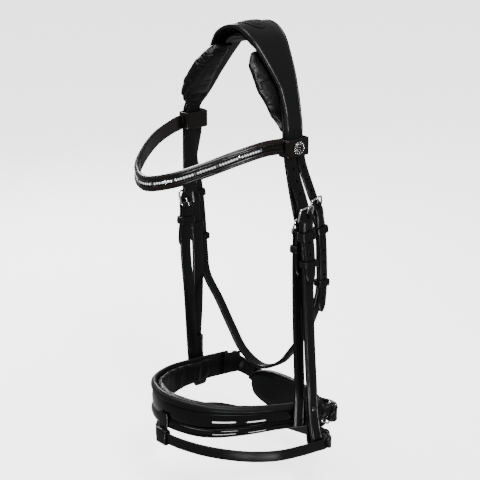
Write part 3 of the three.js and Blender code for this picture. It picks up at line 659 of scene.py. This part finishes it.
def side_pad(hand, poll_end, loop_end):
    """A puffy pad under the crown: gathered in ruffles at the poll, with long folds that run into the loop."""
    front_rows, rear_rows = PAD_EDGES[hand]
    rings = []
    steps = 96
    for i in range(steps + 1):
        s = i / steps
        centre, across, out = frame_at(CROWN, poll_end + (loop_end - poll_end) * s, Y)
        front, rear = table(front_rows, s) - centre[1], table(rear_rows, s) - centre[1]
        half = (rear - front) / 2
        thick = 9.6 * math.sin(math.pi * (0.1 + 0.8 * s ** 0.8)) ** 0.7 * (1 - 0.35 * s)
        ruffle = RUFFLES[hand] * (max(0, 1 - s / 0.3) ** 0.6 + 0.2 * math.exp(-((s - 0.6) / 0.12) ** 2))
        folds = (1.5 if hand == "left" else 0.5) * max(0, (s - 0.25) / 0.75) ** 0.7
        ring = []
        for u, v in pad_ring(half, thick):
            x = u / half
            gather = math.sin(s * 150 + 2.2 * math.sin(3 * x + 1) + 0.7 * math.sin(s * 37))
            long = math.cos(8.5 * x + 2.0 * s + 0.4 * math.sin(9 * s))
            crease = (0.75 * ruffle * gather + folds * long) * (1 - abs(x) ** 4)
            ring.append((u * (1 - 0.03 * ruffle * gather), v + (crease if v > 0 else 0.2 * crease)))
        mid_u, mid_v = (front + rear) / 2, UNDER_SLIPHEAD + thick / 2
        rings.append([centre + across * (mid_u + u) + out * (mid_v + v) for u, v in ring])
    obj = cushion(f"side_pad_{hand}_fine", rings, seam=(0, 14), shrink=-0.02 - 0.07 * RUFFLES[hand])
    finish_pad(obj, f"side_pad_{hand}")


def poll_pad():
    rings = []
    for i in range(61):
        t = 0.375 + 0.25 * i / 60
        half = crown_width(t) / 2 - 7
        end = min(1, 6 * min(i, 60 - i) / 60 + 0.35)
        centre, across, out = frame_at(CROWN, t, Y)
        rings.append([centre + across * (2.5 + u) + out * (UNDER_SLIPHEAD + 2.6 + v)
                      for u, v in pad_ring(half, 5.0 * end, soft=0.45)])
    obj = cushion("poll_pad_fine", rings, seam=(0, 14), pressure=1.0, shrink=-0.03, cap=0.8)
    finish_pad(obj, "poll_pad")


# ---------------------------------------------------------------- browband
BROW = Line([(-90, -16.2, -113.5), (-83.5, -36, -115.5), (-74, -64, -122), (-57.5, -95, -134),
             (-33, -122, -145),
             (0, -135, -148.5), (33, -123, -140.5), (59, -95, -127.5), (76, -64, -116), (85.5, -36, -109.5),
             (90.5, -16.2, -108.5)])


def brow_strap():
    """Two rolled edges with a channel between them, stitched along the foot of each roll."""
    half = [(0, 0.5), (2.3, 0.5), (2.6, 0.9), (2.75, 1.9), (3.2, 2.6), (4.0, 3.2), (5.2, 3.55),
            (6.4, 3.3), (7.3, 2.5),
            (7.75, 1.6), (8.0, 1.35), (8.5, 1.1), (8.6, 0.2), (8.5, -1.4), (8.0, -2.0)]
    section = half + [(0, -2)] + [(-u, v) for u, v in reversed(half[1:])]
    parts = Parts()
    parts.add(*rings_mesh(sweep_rings(BROW, Z, 190, lambda t: section)), LEATHER_BROWN)
    for side in (-1, 1):
        def outer(t):
            centre, across, out = frame_at(BROW, t, Z)
            return centre + across * side * 8.05 + out * 1.35, out

        def inner(t):
            centre, across, out = frame_at(BROW, t, Z)
            return centre + across * side * 7.0 - out * 2.02, -out
        stitches(parts, outer, 0.03, 0.97, BROW.length, pitch=3.0, radius=0.3)
        stitches(parts, inner, 0.03, 0.97, BROW.length, pitch=3.0, radius=0.34)
    finish(parts, "browband_strap", "browband", "browband_strap", "leather")


def crystals():
    """Single cut stones in small cups, set in short groups with a plain bar between the groups."""
    parts = Parts()
    half = [(0, 0.62), (1.9, 0.62), (1.9, 1.0), (0, 1.0)]
    base = [(u, v) for u, v in half] + [(-1.9, 1.0), (-1.9, 0.62)]
    parts.add(*rings_mesh(sweep_rings(BROW, Z, 150, lambda t: base, 0.072, 0.928)), STEEL_DARK)
    pitch = 3.15
    count = int(BROW.length * 0.85 / pitch)
    for i in range(count):
        t = 0.075 + 0.85 * (i + 0.5) / count
        centre, across, out = frame_at(BROW, t, Z)
        along = np.cross(across, out)
        if i % 8 == 7:
            bar = [centre + across * u + along * s + out * v for s in (-0.45, 0.45)
                   for u, v in ((-2.0, 0.9), (2.0, 0.9), (2.0, 2.0), (1.3, 2.5), (-1.3, 2.5), (-2.0, 2.0))]
            faces = [(0, 1, 2, 3, 4, 5), (6, 7, 8, 9, 10, 11)]
            faces += [(k, (k + 1) % 6, 6 + (k + 1) % 6, 6 + k) for k in range(6)]
            parts.add(bar, faces, STEEL)
            continue
        tilt = random.uniform(-0.05, 0.05)
        face = out + across * tilt + along * random.uniform(-0.05, 0.05)
        face /= np.linalg.norm(face)
        e1 = np.cross(face, along)
        e1 /= np.linalg.norm(e1)
        e2 = np.cross(face, e1)

        def ring(radius, height, n, turn=0.0):
            return [centre + out * 1.0 + face * height + (e1 * math.cos(a) + e2 * math.sin(a)) * radius
                    for a in (2 * math.pi * (k + turn) / n for k in range(n))]
        cup_profile = ((1.15, -0.1), (1.62, 0.1), (1.66, 1.0), (1.5, 1.15), (1.36, 0.9))
        cup = rings_mesh([ring(r, h, 16) for r, h in cup_profile])
        parts.add(*cup, STEEL)
        girdle, crown_ring, top = ring(1.46, 1.0, 8), ring(1.12, 1.6, 8, 0.5), ring(0.74, 1.95, 8)
        verts = girdle + crown_ring + top
        faces = []
        for k in range(8):
            m = (k + 1) % 8
            faces += [(k, m, 8 + k), (m, 8 + m, 8 + k), (8 + k, 16 + m, 16 + k), (8 + k, 8 + m, 16 + m)]
        faces.append(tuple(16 + k for k in range(8)))
        # White stone colour: painted glitter in place of a clear crystal.
        parts.add(verts, faces, STONE_PAINTED_GLINT)
    finish(parts, "crystal_strip", "browband", "crystal_strip", "crystal", angle=12)


def loop_and_rosette(side, hand):
    low, high = 89.3 - 6.25, 89.3 + 6.25
    place = Place((side, 0, 0), (0, 1, 0), (0, 0, 1), (0, 0, LOOP_Z))
    parts = Parts()
    leather_loop(parts, place, low, high, -12.8, 17.2, 20, 1.8, LEATHER_BROWN, radius=2.6)
    finish(parts, f"browband_loop_{hand}", "browband", f"browband_loop_{hand}", "leather")
    parts = Parts()
    face = high + 1.8 + GAP
    profile = [(0, 0), (7.2, 0), (7.45, 0.35), (7.45, 0.9), (7.15, 1.35), (6.7, 1.5), (6.3, 1.3),
               (5.9, 1.0), (5.5, 1.15),
               (4.6, 1.9), (3.4, 2.5), (2.5, 2.6), (2.3, 2.2), (2.1, 2.2), (1.6, 3.1), (0.8, 3.5), (0, 3.6)]
    n = 96
    rings = []
    for r, h in profile[1:-1]:
        ring = []
        for k in range(n):
            a = 2 * math.pi * k / n
            petal = 0.45 * abs(math.cos(5 * a)) ** 0.6 if 2.4 < r < 5.8 else 0
            ring.append(place(face + h + petal, 2 + r * math.cos(a), r * math.sin(a)))
        rings.append(ring)
    verts, faces = rings_mesh(rings)
    parts.add(verts, faces, STEEL_DARK)
    beads = 30
    for k in range(beads):                            # a beaded rim
        a = 2 * math.pi * k / beads
        centre = place(face + 1.15, 2 + 6.75 * math.cos(a), 6.75 * math.sin(a))
        ball = []
        for lat in (0.15, 0.6, 1.05, 1.5):
            ball.append([centre + place.m @ np.array([0.62 * math.sin(lat), 0.62 * math.cos(lat) * math.cos(b),
                                                      0.62 * math.cos(lat) * math.sin(b)])
                         for b in circle(8)])
        parts.add(*rings_mesh(ball), STEEL)
    finish(parts, f"rosette_{hand}", "browband", f"rosette_{hand}", "steel")


# ---------------------------------------------------------------- side straps
BILLET_TOP = LOOP_Z - 1.2
ROUTES = {                                   # [z, y, lean], downwards
    "hanger": [(-104, -4, 0), (-130, -3, 2), (-165, 1, 10), (-200, 2.5, 14.5), (-270, -1, 16), (-350, 3.5, 8.5),
               (-420, 6, 2)],
    "cheek": [(-104, -4, 0), (-130, -4, 0), (-190, 6.6, 5), (-247, 14.5, 3), (-320, 17.5, 1.5), (-423, 18, 3),
              (-486, 26, 5)],
    "throat": [(-104, 10.5, 0), (-130, 10.5, 0), (-190, 26.4, 5), (-215, 32, 5.5), (-275, 35.8, 5),
               (-320, 33, 4.5),
               (-420, 36, 5)],
}
OUTS = {                                     # [z, distance from the middle plane], downwards
    "hanger": [(-214, 82.7), (-262, 84), (-330, 89), (-385, 95), (-405, 97)],
    "cheek": [(-197, 97.5), (-250, 98.2), (-300, 99.5), (-360, 102.5), (-405, 105.7), (-436, 105.8)],
    "throat_left": [(-189, 95.5), (-215, 95.8), (-250, 96.2), (-285, 95.8)],
    "throat_right": [(-189, 108.5), (-215, 110), (-250, 108.9), (-290, 106.5)],
}


def read(pairs, z):
    return table([(-a, b) for a, b in pairs], -z)


def on_side(side, route, out, z):
    rows = ROUTES[route]
    y = read([(a, y) for a, y, _ in rows], z) + side * read([(a, shift) for a, _, shift in rows], z)
    return np.array([side * out, y, z])


def side_place(side, route, out, z):
    up = on_side(side, route, out, z + 8) - on_side(side, route, out, z - 8)
    up /= np.linalg.norm(up)
    outward = np.array([side, 0, 0.0])
    return Place(outward, np.cross(up, outward), up, on_side(side, route, out, z))


def billet(name, body, side, route, top, bar, outs, tip_z, width):
    """A pointed strap over the buckle's bar, with a row of holes."""
    bar_out, bar_z = bar
    points = [(top, BILLET_TOP), (top + 0.2, BILLET_TOP - 14),
              (bar_out + BILLET_UNDER_FRAME - 1, bar_z + BUCKLE_HEIGHT + 9),
              (bar_out + BILLET_UNDER_FRAME, bar_z + BUCKLE_HEIGHT + 1),
              (bar_out + BILLET_OUT - 0.6, bar_z + 5),
              (bar_out + BILLET_OUT, bar_z), (bar_out + BILLET_OUT - 0.9, bar_z - 6),
              (read(outs, bar_z - 18) + BILLET_ON_STRAP, bar_z - 18)]
    z = bar_z - 40
    while z > tip_z + 12:
        points.append((read(outs, z) + BILLET_ON_STRAP, z))
        z -= 25
    points.append((read(outs, tip_z) + BILLET_ON_STRAP, tip_z))
    line = Line([on_side(side, route, out, z) for out, z in points])
    face = face_of(line, side)
    parts = Parts()
    strap(parts, line, Y, width, LEATHER, LEATHER_BLACK, face=face, tip=14, crease=1.9)
    heights = [BILLET_TOP - 22 - HOLE_PITCH * k for k in range(12)]
    for z in heights:
        if z < tip_z + 16 or abs(z - bar_z - 8) < 15:
            continue
        t = at_height(line, z)
        centre, across, out = frame_at(line, t, Y)
        hole(parts, centre + out * face * LEATHER / 2, across, out * face)
    t = at_height(line, bar_z + 8)
    centre, across, out = frame_at(line, t, Y)
    hole(parts, centre + out * face * LEATHER / 2, across, out * face, radius=1.7, long=3.2)
    return finish(parts, name, body, name, "leather")


def face_of(line, side):
    """1 when the line's out direction points away from the middle plane."""
    _, _, out = frame_at(line, 0.3, Y)
    return 1 if out[0] * side > 0 else -1


def at_height(line, z):
    heights = line.p[:, 2]
    first = int(np.argmax(heights <= z))
    return line.s[first] / line.length


def buckled(name, body, side, hand, route, bar, width, outs, loops):
    place = side_place(side, route, *bar)
    buckle(f"{name}_buckle_{hand}", body, place, width)
    tongue(f"{name}_tongue_{hand}", body if name == "hanger" else f"{name}_tongue_{hand}", place)
    for label, z, height in loops:
        stack = STRAP + 2 * GAP + LEATHER
        on = body if label == "keeper" else f"{name}_runner_{hand}"
        keeper(f"{name}_{label}_{hand}", on, side_place(side, route, read(outs, z), z), width, stack, height,
               GAP + LEATHER / 2)
    return place


def cheekpiece(side, hand):
    body, outs, bar = f"cheekpiece_{hand}", OUTS["cheek"], (97.5, -197)
    place = buckled("cheek", body, side, hand, "cheek", bar, CHEEK_WIDTH, outs,
                    [("keeper", -215, 11), ("runner", -249, 8)])
    billet(f"cheek_billet_{hand}", body, side, "cheek", BILLET_LAYER, bar, outs, -272, CHEEK_WIDTH)
    end = {"left": -482, "right": -466}[hand]
    points = [(bar[0], bar[1] - 3)] + [(o, z) for z, o in outs[1:]]
    points += [(106.5, end + 26), (107.8, end + 14), (107.4, end + 5.5), (103.4, end), (99.4, end + 5.5),
               (98.8, end + 14),
               (100.2, end + 26), (101.3, end + 42), (101.3, end + 68)]
    line = Line([on_side(side, "cheek", o, z) for o, z in points])
    face = face_of(line, side)
    parts = Parts()
    strap(parts, line, Y, CHEEK_WIDTH, STRAP, LEATHER_BLACK, face=face, crease=2.2, crown=0.15)
    stop = at_height(line, end + 14)
    edge_stitches(parts, line, Y, CHEEK_WIDTH, STRAP, face, 0.01, stop, inset=1.45)
    bar_eye(parts, place, CHEEK_WIDTH, LEATHER_BLACK)
    finish(parts, f"cheek_strap_{hand}", body, f"cheek_strap_{hand}", "leather")
    stud = Parts()
    seat = on_side(side, "cheek", 105.8 + STRAP / 2 + GAP + 0.1, -428)
    spot = Place((side, 0, 0), (0, 1, 0), (0, 0, 1), seat)
    rings = [[spot(h, r * math.cos(a), r * math.sin(a)) for a in circle(24)]
             for r, h in ((0.6, 0), (3.0, 0), (3.1, 0.3), (2.7, 0.7), (1.9, 1.2), (1.2, 1.5), (0.4, 1.6))]
    stud.add(*rings_mesh(rings), STEEL_DARK)
    finish(stud, f"bit_hook_{hand}", body, f"bit_hook_{hand}", "steel")


def hanger(side, hand):
    outs, bar = OUTS["hanger"], (82.7, -214)
    place = buckled("hanger", "noseband", side, hand, "hanger", bar, HANGER_WIDTH, outs, [("keeper", -234, 9)])
    billet(f"hanger_billet_{hand}", "noseband", side, "hanger", HANGER_LAYER, bar, outs, -268, HANGER_WIDTH)
    points = [(bar[0], bar[1] - 3)] + [(o, z) for z, o in outs[1:]]
    points.append((97.2, {"left": -448, "right": -432.5}[hand]))
    line = Line([on_side(side, "hanger", o, z) for o, z in points])
    face = face_of(line, side)
    parts = Parts()
    strap(parts, line, Y, HANGER_WIDTH, STRAP - 1, LEATHER_BLACK, face=face, crease=2.1)
    edge_stitches(parts, line, Y, HANGER_WIDTH, STRAP - 1, face, 0.86, 0.99, inset=1.4)
    bar_eye(parts, place, HANGER_WIDTH, LEATHER_BLACK)
    finish(parts, f"hanger_strap_{hand}", "noseband", f"hanger_strap_{hand}", "leather")


def throatlatch():
    halves, places = [], []
    for side, hand in ((1, "left"), (-1, "right")):
        outs = OUTS[f"throat_{hand}"]
        bar = (outs[0][1], -189)
        runner = {"left": -277, "right": -270}[hand]
        places.append(buckled("throat", "throatlatch", side, hand, "throat", bar, THROAT_WIDTH, outs,
                              [("keeper", -213, 9), ("runner", runner, 8)]))
        billet(f"throat_billet_{hand}", "throatlatch", side, "throat", BILLET_LAYER, bar, outs,
               -312, THROAT_WIDTH)
        points = [(bar[0], bar[1] - 3)] + [(o, z) for z, o in outs[1:]]
        points += [(outs[-1][1] - 6.5, -316), (74.5, -345), (52, -374), (29, -399)]
        halves.append([on_side(side, "throat", o, z) for o, z in points])
    left, right = halves
    lowest = [0, (left[-1][1] + right[-1][1]) / 2, -412]
    line = Line(left + [lowest] + right[::-1])
    face = face_of(line, 1)
    parts = Parts()
    strap(parts, line, Y, THROAT_WIDTH, STRAP, LEATHER_BLACK, face=face, crease=1.9)
    edge_stitches(parts, line, Y, THROAT_WIDTH, STRAP, face, 0.005, 0.17, inset=1.3)
    edge_stitches(parts, line, Y, THROAT_WIDTH, STRAP, face, 0.83, 0.995, inset=1.3)
    for place in places:
        bar_eye(parts, place, THROAT_WIDTH, LEATHER_BLACK)
    finish(parts, "throatlatch_strap", "throatlatch", "throatlatch_strap", "leather")


# ---------------------------------------------------------------- noseband, flash strap, jaw piece
NOSE_HEIGHT, NOSE_END_HEIGHT, SHELL = 43.0, 31.0, 2.5


def nose_top(y):
    return -405.5 - 0.14 * (y + 112)


NOSE = Line([(x, y, nose_top(y)) for x, y in (
             (-97.6, 60), (-95, 40), (-89.5, 0), (-77, -52), (-48, -94), (0, -112),
                                              (48, -94), (77, -52), (89.5, 0), (95, 46))])
CRANK = {"left": ((96.6, 52.5, -444), (97, 63, -449.5)), "right": ((-99.6, 66.5, -446), (-100.8, 77.5, -451.5))}


def nose_height(t):
    x = min(max((abs(t - 0.5) - 0.1) / 0.28, 0), 1)
    return NOSE_HEIGHT - (NOSE_HEIGHT - NOSE_END_HEIGHT) * x * x * (3 - 2 * x)


def crank_place(hand):
    front, rear = (np.array(p, float) for p in CRANK[hand])
    direction = (rear - front) / np.linalg.norm(rear - front)
    sideways = np.cross(direction, Z)
    sideways /= np.linalg.norm(sideways)
    return Place(direction, np.cross(sideways, direction), sideways, front)


def noseband():
    """Two padded rolls with a smooth patent panel between them, piped along the rolls and stitched."""
    def half_profile(half, sign):
        """From the middle to one edge, on the face: panel, piping, roll, edge."""
        panel = half * 0.42
        roll = (half - panel - 2.6) / 2
        middle = panel + 1.6 + roll
        pts = [(panel * 0.3, 2.82), (panel * 0.6, 2.5), (panel - 1.4, 1.95), (panel, 1.3), (panel + 0.25, 2.2),
               (panel + 0.8, 2.55), (panel + 1.3, 2.2), (panel + 1.6, 1.55)]
        for k in range(1, 8):
            a = math.pi * k / 8
            pts.append((middle - roll * math.cos(a), 1.5 + 2.55 * math.sin(a)))
        pts += [(middle + roll, 1.4), (half - 0.7, 1.15), (half - 0.15, 0.7), (half, 0), (half, -1.6),
                (half - 0.5, -2.3), (half - 1.2, -SHELL)]
        return [(sign * u, v) for u, v in pts]

    def outline(half):
        return [(0, 2.95)] + half_profile(half, 1) + [(0, -SHELL)] + half_profile(half, -1)[::-1]

    def is_satin(j):
        """The upper roll, the piping and the back are satin; the panel and the lower roll are patent."""
        half = NOSE_HEIGHT / 2
        corners = outline(half)
        (u0, v0), (u1, v1) = corners[j], corners[(j + 1) % len(corners)]
        u, v, panel = (u0 + u1) / 2, (v0 + v1) / 2, half * 0.42
        return v < 0 or u > panel or -panel - 1.7 < u < -panel or u < 1.2 - half

    parts = Parts()
    parts.mats = [PATENT, LEATHER_SATIN]
    rings = sweep_rings(NOSE, Z, 200,
                        lambda t: [(u - nose_height(t) / 2, v) for u, v in outline(nose_height(t) / 2)])
    parts.verts, parts.faces = rings_mesh(rings)
    n = len(rings[0])
    kinds = [int(is_satin(j)) for j in range(n)]
    parts.indices = [kinds[face[0] % n] if len(face) == 4 else 1 for face in parts.faces]
    for side in (-1, 1):
        def rim(t):
            centre, across, out = frame_at(NOSE, t, Z)
            half = nose_height(t) / 2
            return centre + across * (-half + side * (half - 0.75)) + out * 1.25, out
        stitches(parts, rim, 0.01, 0.99, NOSE.length, pitch=2.9, radius=0.32)
    for hand in ("left", "right"):
        place = crank_place(hand)
        for low, high in ((-9.4, -6.2), (-5.4, 5.4), (6.2, 9.4)):
            rings = []
            for a in circle(20):
                c, s = math.cos(a), math.sin(a)
                rings.append([place(0.6 + c * rx, u, s * rz) for u, rx, rz in
                              ((low, 4.0, 2.0), (low, 5.6, 3.2), (low + 0.4, 5.8, 3.4), (high - 0.4, 5.8, 3.4),
                               (high, 5.6, 3.2), (high, 4.0, 2.0))])
            parts.add(*rings_mesh(rings, closed=True), LEATHER_SATIN)
    finish(parts, "noseband_shell", "noseband", "noseband_shell", "patent")
    padding()
    flap()


def padding():
    """The soft lining: full between its stitched edges, with slack folds across it."""
    rings = []
    steps = 150
    for i in range(steps + 1):
        t = 0.08 + 0.89 * i / steps
        h = nose_height(t)
        ease = min(1, 10 * min(i, steps - i) / steps + 0.25)
        fold = 0.16 * math.sin(i * 0.9) + 0.3 * math.sin(i * 0.37 + 1)
        centre, across, out = frame_at(NOSE, t, Z)
        rings.append([centre + across * (u - h / 2) + out * (v - SHELL - 0.8 - 4.5 + (fold if v < 0 else 0))
                      for u, v in pad_ring((h - 5.4) / 2, 8.4 * ease)])
    obj = cushion("noseband_padding_fine", rings, seam=(0, 14), pressure=1.6, shrink=-0.015, cap=1.2)
    finish_pad(obj, "noseband_padding", "noseband")


def flap():
    line = Line([(x, y, nose_top(y) - NOSE_END_HEIGHT / 2) for x, y in ((-91.8, 49), (-93.3, 62), (-94, 77))])
    parts = Parts()
    _, _, out = frame_at(line, 0.5, Z)
    strap(parts, line, Z, NOSE_END_HEIGHT - 3, 2.2, LEATHER_SATIN,
          face=1 if out[0] < 0 else -1, tip=0, pitch=1.2)
    finish(parts, "noseband_flap", "noseband", "noseband_flap", "leather")


FLASH = [(86, 57.5, -483), (97.5, 51.3, -480), (107, 45.5, -478), (112.1, 36, -476), (112.6, 22, -474.5),
         (112.9, 0, -472.5), (110.3, -38, -468), (95, -71, -464), (62, -101, -460.5), (24, -116.4, -458.5),
         (0, -118.4, -458), (-12, -116.6, -458.5), (-28, -105, -461.5), (-58, -72, -469), (-78, -36, -479),
         (-87, 2, -490), (-86, 36, -499), (-70, 60, -506), (-38, 78, -509), (0, 84, -507)]
FLASH_TAIL = [(88.4, 61.5, -483), (99.8, 55.3, -480), (109.6, 48.5, -478), (115.8, 38, -476)]


def flash():
    up = np.array([-62, 12.5, -16.0])
    up /= np.linalg.norm(up)
    outward = np.array([12.5, 62, 0.0])
    outward /= np.linalg.norm(outward)
    across = np.cross(up, outward)
    across /= np.linalg.norm(across)
    place = Place(outward, across, up, (62, 69.5, -490))
    over = [place(BILLET_UNDER_FRAME, 0, 17), place(BILLET_OUT - 0.6, 0, 5), place(BILLET_OUT, 0, 0),
            place(BILLET_OUT - 0.6, 0, -7)]
    line = Line([place(0, 0, -3)] + FLASH + over + FLASH_TAIL)
    parts = Parts()
    strap(parts, line, Z, FLASH_WIDTH, LEATHER, LEATHER_SATIN, face=1, tip=12, crease=1.9)
    bar_eye(parts, place, FLASH_WIDTH, LEATHER_BLACK)
    finish(parts, "flash_strap", "flash", "flash_strap", "leather")
    buckle("flash_buckle", "flash", place, FLASH_WIDTH, BRONZE)
    tongue("flash_tongue", "flash_tongue", place, BRONZE)
    rear, front = np.array(FLASH[0], float), np.array(FLASH[1], float)
    along = (rear - front) / np.linalg.norm(rear - front)
    outside = -np.array([-along[1], along[0], 0])
    outside /= np.linalg.norm(outside)
    middle = rear - 2 * along
    spot = Place(outside, np.cross(along, outside), along, middle)
    keeper("flash_keeper", "flash", spot, FLASH_WIDTH, 2 * LEATHER + 2.2, 8, 2.1, LEATHER_BLACK)
    loop = Parts()
    ring = Place((0, -1, 0), (0, 0, 1), (1, 0, 0), (1, -118.4, -458))
    half = FLASH_WIDTH / 2 + 1.1
    leather_loop(loop, ring, -LEATHER / 2 - 1.1, LEATHER / 2 + 1.1, -half, half, 17, 1.8,
                 LEATHER_BLACK, radius=1.8)
    tab = Line([(0, -116.8, -446 + 17), (0, -116.8, -449), (0, -117.2, -452)])
    strap(loop, tab, X, 15, 2, LEATHER_BLACK, face=1 if frame_at(tab, 0.5, X)[2][1] < 0 else -1, pitch=1.5)
    finish(loop, "flash_loop", "noseband", "flash_loop", "leather")


def jaw():
    eyes = {h: np.array(CRANK[h][1], float) for h in ("left", "right")}
    points = [(-98.5, 84.5, -456), (-92, 89.5, -460), (-76, 92.5, -464), (-45, 93.5, -468),
              (0, 94, -469), (45, 92, -465),
              (74, 85.5, -458), (90, 76, -454), (96.4, 67.5, -451.5)]
    line = Line([eyes["right"]] + points + [eyes["left"]])
    parts = Parts()
    face = 1 if frame_at(line, 0.5, Z)[2][1] > 0 else -1
    strap(parts, line, Z, JAW_STRAP_WIDTH, LEATHER, LEATHER_SATIN, face=face, crease=2.2)
    edge_stitches(parts, line, Z, JAW_STRAP_WIDTH, LEATHER, face, 0.02, 0.98)
    for hand in ("left", "right"):
        place = crank_place(hand)
        apart = np.linalg.norm(np.array(CRANK[hand][1]) - CRANK[hand][0])
        place.o = place(apart, 0, 0)
        for low, high in ((-10, -0.2), (0.2, 10)):
            rings = []
            for a in circle(20):
                c, s = math.cos(a), math.sin(a)
                rings.append([place(c * r, u, s * r) for u, r in ((low, 2.3), (low, 3.7), (low + 0.4, 4.0),
                                                                 (high - 0.4, 4.0), (high, 3.7), (high, 2.3))])
            parts.add(*rings_mesh(rings, closed=True), LEATHER_SATIN)
        crank_ring(hand, apart)
    finish(parts, "jaw_strap", "jaw_piece", "jaw_strap", "leather")
    jaw_pad()
    curve = Line(points)
    along = curve.along(0.1)
    outward = np.cross(along, Z)
    outward /= np.linalg.norm(outward)
    spot = Place(outward, np.cross(along, outward), along, curve.at(0.1))
    keeper("jaw_keeper", "jaw_piece", spot, JAW_STRAP_WIDTH, LEATHER, 10, 0, LEATHER_SATIN)


def crank_ring(hand, length):
    place = crank_place(hand)
    inner = JAW_STRAP_WIDTH / 2 + 3.2
    parts = Parts()
    flat = rounded_rectangle(0, length, -inner, inner, 1.6)
    wire(parts, [place(x, y, 0) for x, y in flat], WIRE / 2, STEEL)
    finish(parts, f"crank_ring_{hand}", "noseband", f"crank_ring_{hand}", "steel")


def jaw_pad():
    """A flat padded chin pad with a piped rim and a stitched line."""
    line = Line([(x, 85.5 - 0.001 * x * x, -470) for x in (-70, -50, -25, 0, 25, 50, 66)])
    parts = Parts()

    def half_height(t):
        return (16 + 38 * math.sqrt(max(0, 1 - abs(2 * t - 1) ** 2.6))) / 2

    def section(t):
        h = half_height(t)
        thick = 2.2 + 2.3 * (h / 27)
        half = [(0, thick), (h * 0.55, thick * 0.96), (h - 5, thick * 0.8), (h - 3.4, thick * 0.45),
                (h - 2.9, thick * 0.6),
                (h - 1.6, thick * 0.72), (h - 0.5, thick * 0.5), (h, 0)]
        face = half + [(u, -v) for u, v in half[-2::-1]]
        return face + [(-u, v) for u, v in face[-2:0:-1]]
    parts.add(*rings_mesh(sweep_rings(line, Z, 90, section)), LEATHER_SATIN)
    for side in (-1, 1):
        for sign in (-1, 1):
            def spot(t):
                centre, across, out = frame_at(line, t, Z)
                h = half_height(t)
                return centre + across * side * (h - 3.3) + out * sign * (2.2 + 2.3 * h / 27) * 0.5, out * sign
            stitches(parts, spot, 0.03, 0.97, line.length, pitch=3.0, radius=0.32)
    obj = parts.done("jaw_pad_fine")
    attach(obj, "jaw_piece")
    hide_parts("jaw_pad")


crown()
patch()
sliphead()
poll_pad()
side_pad("left", 0.367, 0.05)
side_pad("right", 0.633, 0.938)
brow_strap()
crystals()
for side, hand in ((1, "left"), (-1, "right")):
    loop_and_rosette(side, hand)
    cheekpiece(side, hand)
    hanger(side, hand)
throatlatch()
noseband()
flash()
jaw()


# ---------------------------------------------------------------- stage
FLOOR_Z = -545
FLOOR_REACH = 6000
DOME = 7000


def area(name, place, aim, size, power, size_y=None):
    light = bpy.data.lights.new(name, "AREA")
    light.energy = power
    light.size = size
    if size_y:
        light.shape = "RECTANGLE"
        light.size_y = size_y
    obj = bpy.data.objects.new(name, light)
    obj.location = place
    obj.rotation_euler = (Vector(aim) - Vector(place)).to_track_quat("-Z", "Y").to_euler()
    bpy.context.scene.collection.objects.link(obj)


floor_mat = shader("floor_pale", (0.95, 0.95, 0.95), 0.8, Emission_Color=(1, 1, 1, 1), Emission_Strength=2.4)[0]
floor_corners = [(-FLOOR_REACH, -FLOOR_REACH, FLOOR_Z), (FLOOR_REACH, -FLOOR_REACH, FLOOR_Z),
                 (FLOOR_REACH, FLOOR_REACH, FLOOR_Z), (-FLOOR_REACH, FLOOR_REACH, FLOOR_Z)]
floor = mesh_object("floor", floor_corners, [(0, 1, 2, 3)], floor_mat)
dome_rings = [[(DOME * math.cos(lat) * math.cos(a), DOME * math.cos(lat) * math.sin(a), DOME * math.sin(lat))
               for a in circle(48)] for lat in np.linspace(-1.5, 1.5, 25)]
dome = mesh_object("backdrop", *rings_mesh(dome_rings), floor_mat)
for piece in (floor, dome):                      # they light nothing, so the black leather stays deep
    piece.visible_glossy = piece.visible_diffuse = False
dome.visible_shadow = False
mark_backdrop(floor, dome)
world = bpy.data.worlds.new("studio")
world.use_nodes = True
world.node_tree.nodes["Background"].inputs["Color"].default_value = (1, 1, 1, 1)
world.node_tree.nodes["Background"].inputs["Strength"].default_value = 0.35
bpy.context.scene.world = world
area("key", (1.3, -0.5, 1.3), (0, 0, -0.2), 0.5, 42)
area("top", (-0.3, -0.5, 1.5), (0, 0, -0.1), 0.9, 30)
area("rim", (-1.2, 0.4, 0.4), (0, 0, -0.2), 0.5, 20)
# Two low windows that the patent leather mirrors as bright bars.
area("bar_front", (0.97, -0.66, -0.9), (0.06, -0.08, -0.425), 0.6, 20, 0.15)
area("bar_side", (1.17, 0.0, -0.97), (0.08, -0.04, -0.425), 0.46, 15, 0.15)

target = Vector((0, 0, -0.242))
camera_data = bpy.data.cameras.new("camera")
camera_data.lens = 102
camera_data.sensor_width = 36
camera = bpy.data.objects.new("camera", camera_data)
azimuth, elevation, distance = math.radians(50), math.radians(18), 1.6
camera.location = target + distance * Vector((math.cos(elevation) * math.sin(azimuth),
                                              -math.cos(elevation) * math.cos(azimuth), math.sin(elevation)))
camera.rotation_euler = (target - camera.location).to_track_quat("-Z", "Y").to_euler()
bpy.context.scene.collection.objects.link(camera)
bpy.context.scene.camera = camera

boxes = [[list(corner) for corner in box] for box in (start_box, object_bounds())]
